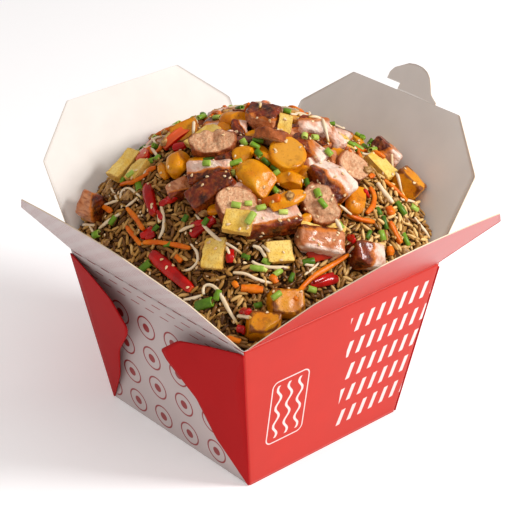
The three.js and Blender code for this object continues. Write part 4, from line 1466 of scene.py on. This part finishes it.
# across, down in the picture; heading in the picture in degrees; length, radius, tone.
SCALLION_SEEN = [
    (258, 139, 0, 6.2, 1.9, 0.2), (244, 142, -60, 4.4, 1.9, 0.65), (254, 147, 0, 5.6, 1.9, 0.5),
    (259, 154, -50, 4.6, 1.8, 0.25), (266, 161, -50, 5.6, 1.5, 0.1),
    (275, 168, -15, 4.4, 1.4, 0.1),
    (276, 175, 28, 6.0, 2.0, 0.6), (236, 164, 26, 7.4, 1.9, 0.55), (234, 172, 80, 3.4, 1.7, 0.8),
    (275, 191, -60, 4.2, 1.7, 0.5), (259, 200, 60, 4.6, 1.9, 0.75), (207, 164, -8, 4.4, 1.9, 0.6),
    (209, 158, 0, 7.0, 1.3, 0.12), (304, 137, 70, 3.4, 1.9, 0.85), (314, 138, 15, 4.0, 1.8, 0.75),
    (328, 153, -50, 4.8, 1.9, 0.6), (351, 145, -20, 4.6, 1.5, 0.5), (356, 149, 20, 4.4, 1.5, 0.5),
    (358, 153, -50, 4.2, 1.4, 0.2), (308, 184, -60, 6.0, 1.6, 0.12),
    (318, 194, -70, 5.2, 2.0, 0.55),
    (322, 204, -52, 6.2, 1.7, 0.5), (236, 206, -12, 5.4, 1.9, 0.7), (248, 204, 8, 4.0, 1.6, 0.8),
    (261, 209, 32, 5.4, 1.9, 0.7), (251, 219, 65, 7.4, 2.1, 0.72), (283, 213, 8, 5.0, 1.7, 0.95),
    (400, 209, -60, 9.0, 1.9, 0.22), (413, 209, -15, 5.4, 1.9, 0.7),
    (405, 240, -72, 8.0, 1.6, 0.4),
    (381, 236, -80, 6.0, 2.0, 0.55), (378, 212, -70, 5.0, 1.6, 0.15),
    (384, 223, -85, 8.0, 1.5, 0.1),
    (368, 235, 55, 6.0, 1.3, 0.15), (266, 262, -30, 4.8, 1.9, 0.55), (257, 269, -8, 7.6, 1.8, 0.6),
    (263, 269, -35, 4.6, 1.3, 0.9), (277, 273, 32, 6.0, 1.6, 0.65), (308, 262, 12, 7.0, 1.9, 0.15),
    (206, 305, 3, 10.4, 3.0, 0.16), (218, 296, 78, 6.0, 1.9, 0.35), (276, 296, 38, 6.0, 1.7, 0.6),
    (258, 306, 20, 4.4, 1.7, 0.2), (147, 267, 18, 8.4, 2.4, 0.25), (98, 235, 0, 4.8, 2.4, 0.5),
    (114, 221, 45, 5.6, 1.9, 0.4), (152, 162, -20, 4.4, 1.9, 0.45), (158, 159, 70, 3.6, 1.8, 0.55),
    (154, 147, 0, 4.4, 1.8, 0.25), (122, 180, 60, 3.4, 1.8, 0.5), (131, 175, 30, 5.0, 1.7, 0.7),
    (140, 188, -60, 6.4, 2.1, 0.35), (186, 219, 60, 4.4, 1.7, 0.15),
    (156, 229, 35, 4.8, 1.4, 0.15),
    (311, 290, -8, 5.0, 1.9, 0.65), (246, 257, -25, 4.6, 1.5, 0.15),
    (291, 278, 60, 5.4, 1.4, 0.12),
    (206, 222, 55, 4.6, 1.6, 0.2), (169, 245, 0, 5.0, 1.6, 0.3), (340, 226, -60, 4.4, 1.5, 0.6),
]


def scallion_ring(point, upright, along, length, radius, tone):
    """Hollow ring: a closed profile of lengths and radii turned about the way it lies."""
    upright = upright / np.linalg.norm(upright)
    along = along - upright * (along @ upright)
    along = along / np.linalg.norm(along)
    across = np.cross(upright, along)
    turn = 2 * np.pi * np.arange(RING_AROUND) / RING_AROUND
    round_way = (across * np.cos(turn)[:, None]
                 + upright * np.sin(turn)[:, None] * RING_FLATTEN) * radius
    profile = RING_PROFILE
    shape = (point + upright * radius * RING_FLATTEN * 0.75
             + along * profile[:, None, :1] * length / 2 + round_way[None] * profile[:, None, 1:])
    faces = grid_faces(len(profile) + 1, RING_AROUND, closed=True) % (len(profile) * RING_AROUND)
    cut = np.repeat(tone + 0.35 * (profile[:, 1] < 0.9), RING_AROUND)
    return shape.reshape(-1, 3), [faces], {"tone": cut}


rings = []
for across, down, heading, length, radius, tone in SCALLION_SEEN:
    point, upright = seen_on(across, down)
    way = RIGHT * np.cos(np.radians(heading)) + UP * np.sin(np.radians(heading))
    rings.append(scallion_ring(point, upright, way, length, radius, tone))
rng = np.random.default_rng(71)
for point, upright in random_rests(70, 46, seen_part):
    rings.append(scallion_ring(point, upright, rng.normal(size=3), rng.uniform(4, 7),
                               rng.uniform(1.5, 2.1), rng.uniform(0.1, 0.8)))
joined("scallion_rings", rings, scallion, "rice")


# ---- Carrot strips and bean sprouts ----
# Long thin strands laid over the rice: square-cut carrot, round white sprouts and ribbons of
# pepper. A strand follows a curve through the picture points at which it is seen.
STRAND_STEPS, STRAND_AROUND = 22, 10
CARROT_ORANGE, CARROT_DEEP = paint(230, 124, 14), paint(206, 88, 8)
SPROUT_WHITE, SPROUT_HEAD = paint(234, 214, 182), paint(208, 166, 84)


def strand(points, uprights, width, height, power, taper, seed):
    """Tube along a curve: cross-sections whose powers of across and up add to one, closed by
    a fan at each end. taper thins the ends."""
    places, ups = np.array(points), np.array(uprights)
    if len(places) == 2:
        places = np.insert(places, 1, places.mean(0) + ups.mean(0) * 0.4, 0)
        ups = np.insert(ups, 1, ups.mean(0), 0)
    run = np.concatenate([[0], np.cumsum(np.linalg.norm(np.diff(places, axis=0), axis=1))])
    at = np.linspace(0, run[-1], STRAND_STEPS)
    blur = run[-1] / len(places) / 2.2
    shifts = np.linspace(-blur, blur, 7)
    path, up = [np.stack([np.mean([np.interp(at + shift, run, values[:, axis])
                                   for shift in shifts], 0) for axis in range(3)], -1)
                for values in (places, ups)]
    along = np.gradient(path, axis=0)
    along /= np.linalg.norm(along, axis=1, keepdims=True)
    up = up - (up * along).sum(1, keepdims=True) * along
    up /= np.linalg.norm(up, axis=1, keepdims=True)
    across = np.cross(along, up)
    share = np.linspace(-1, 1, STRAND_STEPS)
    thick = (1 - taper * np.abs(share) ** 3) * (1 + 0.1 * np.sin(share * 5 + seed))
    turn = 2 * np.pi * np.arange(STRAND_AROUND) / STRAND_AROUND
    section = np.c_[np.cos(turn), np.sin(turn)]
    section /= (np.abs(section) ** power).sum(1, keepdims=True) ** (1 / power)
    ring = (across[:, None] * section[None, :, :1] * width / 2
            + up[:, None] * section[None, :, 1:] * height / 2) * thick[:, None, None]
    lifted = path + up * height * 0.42
    rows = lifted[:, None] + ring
    shape = np.vstack([rows.reshape(-1, 3), lifted[:1], lifted[-1:]])
    reach = np.append(np.repeat((share + 1) / 2, STRAND_AROUND), [0, 1])
    return (shape, [grid_faces(STRAND_STEPS, STRAND_AROUND, closed=True),
                    end_fans(STRAND_STEPS, STRAND_AROUND)], {"reach": reach})


def seen_strand(spots, width, height, power, taper, seed):
    """Strand through what lies at a row of picture points."""
    found = [seen_on(*spot) for spot in spots]
    return strand([point for point, _ in found], [upright for _, upright in found], width,
                  height, power, taper, seed)


def random_strands(seed, count, length, width, height, power, taper):
    """Strands of random heading and curl in the part of the heap that the picture hides."""
    rng = np.random.default_rng(seed)
    made = []
    for order, (point, _) in enumerate(random_rests(seed, count, seen_part)):
        heading, curl = rng.uniform(0, 2 * np.pi), rng.uniform(-0.7, 0.7)
        steps = rng.uniform(0.7, 1.2) * length / 4
        turns = heading + curl * np.arange(4)
        plan = point[:2] + np.cumsum(np.c_[np.cos(turns), np.sin(turns)] * steps, 0)
        inner = (plan * 0.97).clip(RICE_GAP + 4 - RIM_HALF, 96)
        found = [dropped_on(*spot) for spot in inner]
        if all(found) and min(room_left(np.array([spot for spot, _ in found]))) > 1.5:
            made.append(strand([spot for spot, _ in found], [up for _, up in found], width,
                               height, power, taper, order))
    return made


carrot, tree, shader = new_finish("carrot", CARROT_ORANGE, 0.28, Specular_IOR_Level=OILY)
place = object_place(tree)
shade = mixed(tree, patchy(tree, place, 160.0, 0.5, 0.25), CARROT_ORANGE, CARROT_DEEP)
dressed(tree, shader, shade, patchy(tree, place, 900.0), 0.15, 0.6)

# picture points, then width and height.
CARROT_SEEN = [
    (((293, 302), (300, 289), (312, 277), (330, 266), (351, 255)), 3.0, 2.4),
    (((240, 289), (252, 290), (264, 291)), 4.6, 3.2), (((234, 283), (238, 288)), 3.0, 2.6),
    (((127, 208), (136, 217), (145, 231)), 2.8, 2.4),
    (((127, 226), (134, 236), (143, 246)), 2.6, 2.2),
    (((143, 243), (158, 243), (176, 245), (193, 249)), 2.8, 2.4),
    (((104, 207), (113, 213)), 3.2, 2.4),
    (((121, 186), (136, 180), (151, 173)), 2.4, 2.2), (((148, 173), (157, 169)), 3.4, 2.6),
    (((382, 180), (394, 190), (407, 203)), 2.6, 2.4),
    (((388, 221), (393, 232), (400, 245)), 3.2, 2.8),
    (((345, 214), (358, 220), (374, 223)), 2.6, 2.6),
    (((368, 187), (374, 196), (372, 207), (365, 215)), 3.0, 2.2),
    (((387, 208), (391, 216)), 5.0, 3.0), (((388, 247), (389, 256)), 4.2, 3.0),
    (((271, 276), (276, 284)), 3.6, 2.6), (((226, 338), (241, 343)), 3.0, 2.2),
    (((264, 203), (282, 199)), 5.0, 3.6), (((177, 256), (183, 262)), 2.8, 2.2),
    (((345, 147), (349, 153)), 3.0, 2.4), (((368, 178), (373, 176)), 3.0, 2.0),
]
carrots = [seen_strand(spots, width, height, 5.0, 0.25, order)
           for order, (spots, width, height) in enumerate(CARROT_SEEN)]
joined("carrot_strips", carrots + random_strands(81, 22, 24, 2.6, 2.3, 5.0, 0.25),
       carrot, "rice")

sprout, tree, shader = new_finish("bean sprout", SPROUT_WHITE, 0.22, Specular_IOR_Level=OILY)
stain = patchy(tree, object_place(tree), 150.0, 0.55, 0.2)
shade = mixed(tree, stain * 0.35, SPROUT_WHITE, SPROUT_HEAD)
shade = mixed(tree, mask_of(tree, "reach").ranged(0.86, 0.97), shade, SPROUT_HEAD)
dressed(tree, shader, shade, stain, 0.1, 0.4)

SPROUT_SEEN = [
    (((375, 183), (384, 195), (393, 206)), 3.2), (((413, 217), (421, 228), (430, 240)), 2.0),
    (((196, 214), (205, 227), (218, 240), (231, 246), (245, 256)), 2.0),
    (((190, 243), (198, 252), (199, 262), (191, 270), (181, 272)), 1.7),
    (((252, 246), (260, 249), (268, 258)), 2.2),
    (((251, 261), (257, 266), (272, 268), (290, 268)), 2.2),
    (((232, 273), (246, 274), (258, 281), (274, 284)), 2.0),
    (((205, 296), (203, 288), (208, 284), (217, 288), (223, 298), (230, 312), (239, 326)), 2.2),
    (((184, 300), (194, 299), (204, 295)), 2.0), (((99, 230), (110, 221), (123, 213)), 2.2),
    (((83, 225), (97, 226)), 1.8), (((159, 240), (164, 232), (165, 218), (161, 203)), 2.0),
    (((111, 188), (116, 196), (118, 202)), 1.6),
    (((121, 200), (122, 191), (129, 188), (136, 193), (143, 199)), 1.7),
    (((144, 181), (144, 172), (148, 168)), 1.7), (((126, 208), (133, 203), (139, 197)), 1.7),
    (((302, 264), (313, 266)), 2.4), (((225, 247), (231, 258)), 1.8),
    (((349, 253), (355, 246)), 1.6),
    (((104, 204), (120, 201)), 1.6), (((90, 226), (95, 234)), 1.5),
    (((335, 219), (341, 232)), 2.4),
    (((180, 232), (196, 226)), 2.0), (((330, 260), (343, 250)), 1.6),
    (((238, 317), (252, 319)), 2.2),
    (((318, 262), (303, 276)), 1.6), (((352, 214), (338, 205)), 1.7),
    (((400, 200), (415, 203)), 1.7),
    (((157, 212), (160, 224)), 1.6), (((270, 253), (262, 246)), 1.8),
    (((330, 138), (350, 143)), 1.9),
]
sprouts = [seen_strand(spots, width, width * 0.9, 2.0, 0.35, order)
           for order, (spots, width) in enumerate(SPROUT_SEEN)]
joined("bean_sprouts", sprouts + random_strands(82, 40, 28, 1.9, 1.8, 2.0, 0.35),
       sprout, "rice")

RIBBON_SEEN = [
    (((160, 206), (168, 201), (176, 196)), 4.4, 2.2), (((231, 250), (230, 264)), 4.6, 2.4),
    (((348, 237), (356, 242)), 4.4, 2.6), (((363, 191), (367, 197)), 4.0, 2.2),
    (((243, 313), (251, 314)), 4.4, 3.4), (((237, 330), (246, 331)), 4.6, 3.8),
    (((157, 212), (163, 220)), 3.6, 2.0), (((192, 226), (206, 222)), 3.6, 2.2),
    (((312, 283), (333, 274)), 3.2, 2.0), (((146, 238), (156, 234)), 4.2, 2.6),
]
ribbons = [seen_strand(spots, width, height, 3.0, 0.3, order)
           for order, (spots, width, height) in enumerate(RIBBON_SEEN)]
for _, _, masks in ribbons:
    masks["flesh"] = masks.pop("reach") * 0
joined("pepper_ribbons", ribbons, pepper, "rice")


# ---- Sesame seeds and crumbs ----
# Toasted cream seeds, pointed at one end, scattered over the pile, and small fried crumbs
# of egg between the grains.
SESAME_HALF = np.array([1.15, 0.72, 0.42])
SESAME_CREAM, SESAME_TOAST = paint(244, 220, 180), paint(214, 168, 110)
SESAME_SEEN = [
    (237, 132), (241, 135), (228, 165), (226, 172), (230, 178), (237, 177), (241, 181), (264, 187),
    (279, 184), (257, 118), (270, 121), (258, 158), (302, 181), (318, 181), (320, 183), (312, 187),
    (304, 193), (228, 189), (240, 229), (261, 236), (263, 233), (280, 221), (300, 216), (281, 260),
    (238, 244), (305, 209), (340, 168), (349, 172), (366, 152), (383, 173), (345, 195), (354, 202),
    (128, 185), (139, 200), (122, 207), (166, 201), (148, 210), (210, 231), (245, 263), (275, 150),
]
seed_ball, seed_faces = ball(10, 7)
seed_unit = seed_ball[:, [2, 0, 1]]
seed_unit[:, 1] *= 1 - 0.45 * seed_unit[:, 0]

sesame, tree, shader = new_finish("sesame", SESAME_CREAM, 0.4, Specular_IOR_Level=OILY)
toast = patchy(tree, object_place(tree), 350.0, 0.52, 0.2)
dressed(tree, shader, mixed(tree, toast, SESAME_CREAM, SESAME_TOAST))

rng = np.random.default_rng(91)
seeds = []
for point, upright in ([seen_on(*spot) for spot in SESAME_SEEN]
                       + random_rests(92, 260, lambda spots: np.zeros(len(spots), bool))):
    frame_ways = tangent_frames(rng, upright[None], 0.2)[0]
    shape = (point + upright * 0.3
             + (seed_unit * SESAME_HALF * rng.uniform(0.8, 1.1)) @ frame_ways.T)
    seeds.append((shape, seed_faces, {}))
joined("sesame_seeds", seeds, sesame, "rice")

CRUMB_BROWN, CRUMB_TAN = paint(142, 96, 46), paint(198, 152, 86)
CRUMB_SEEN = [(108, 191, 3.8), (128, 196, 3.6), (106, 243, 3.2), (110, 188, 2.6), (404, 251, 3.4),
              (383, 190, 2.4), (395, 200, 2.6), (203, 213, 3.0), (300, 262, 2.6), (312, 274, 2.4),
              (164, 142, 2.6), (290, 196, 3.0), (367, 170, 2.8), (388, 200, 2.4)]

crumb, tree, shader = new_finish("fried crumb", CRUMB_BROWN, 0.45)
mottle = patchy(tree, object_place(tree), 420.0, 0.5, 0.15, 5.0)
dressed(tree, shader, mixed(tree, mottle, CRUMB_BROWN, CRUMB_TAN), mottle, 0.3, 0.8)
crumb_ball, crumb_faces = ball(20, 12)
crumbs = []
crumb_rests = [(seen_on(across, down), half) for across, down, half in CRUMB_SEEN]
crumb_rests += [(rest, 2.6) for rest in random_rests(94, 26, seen_part)]
for order, ((point, upright), half) in enumerate(crumb_rests):
    shape = crumb_ball * half * np.array([1, 0.75, 0.6])
    shape = shape * (1 + 0.3 * wobble(crumb_ball * 5, 300 + order, 4.0)[:, None])
    frame_ways = tangent_frames(rng, upright[None], 0.2)[0]
    crumbs.append((point + upright * half * 0.05 + shape @ frame_ways.T, crumb_faces, {}))
joined("fried_crumbs", crumbs, crumb, "rice")
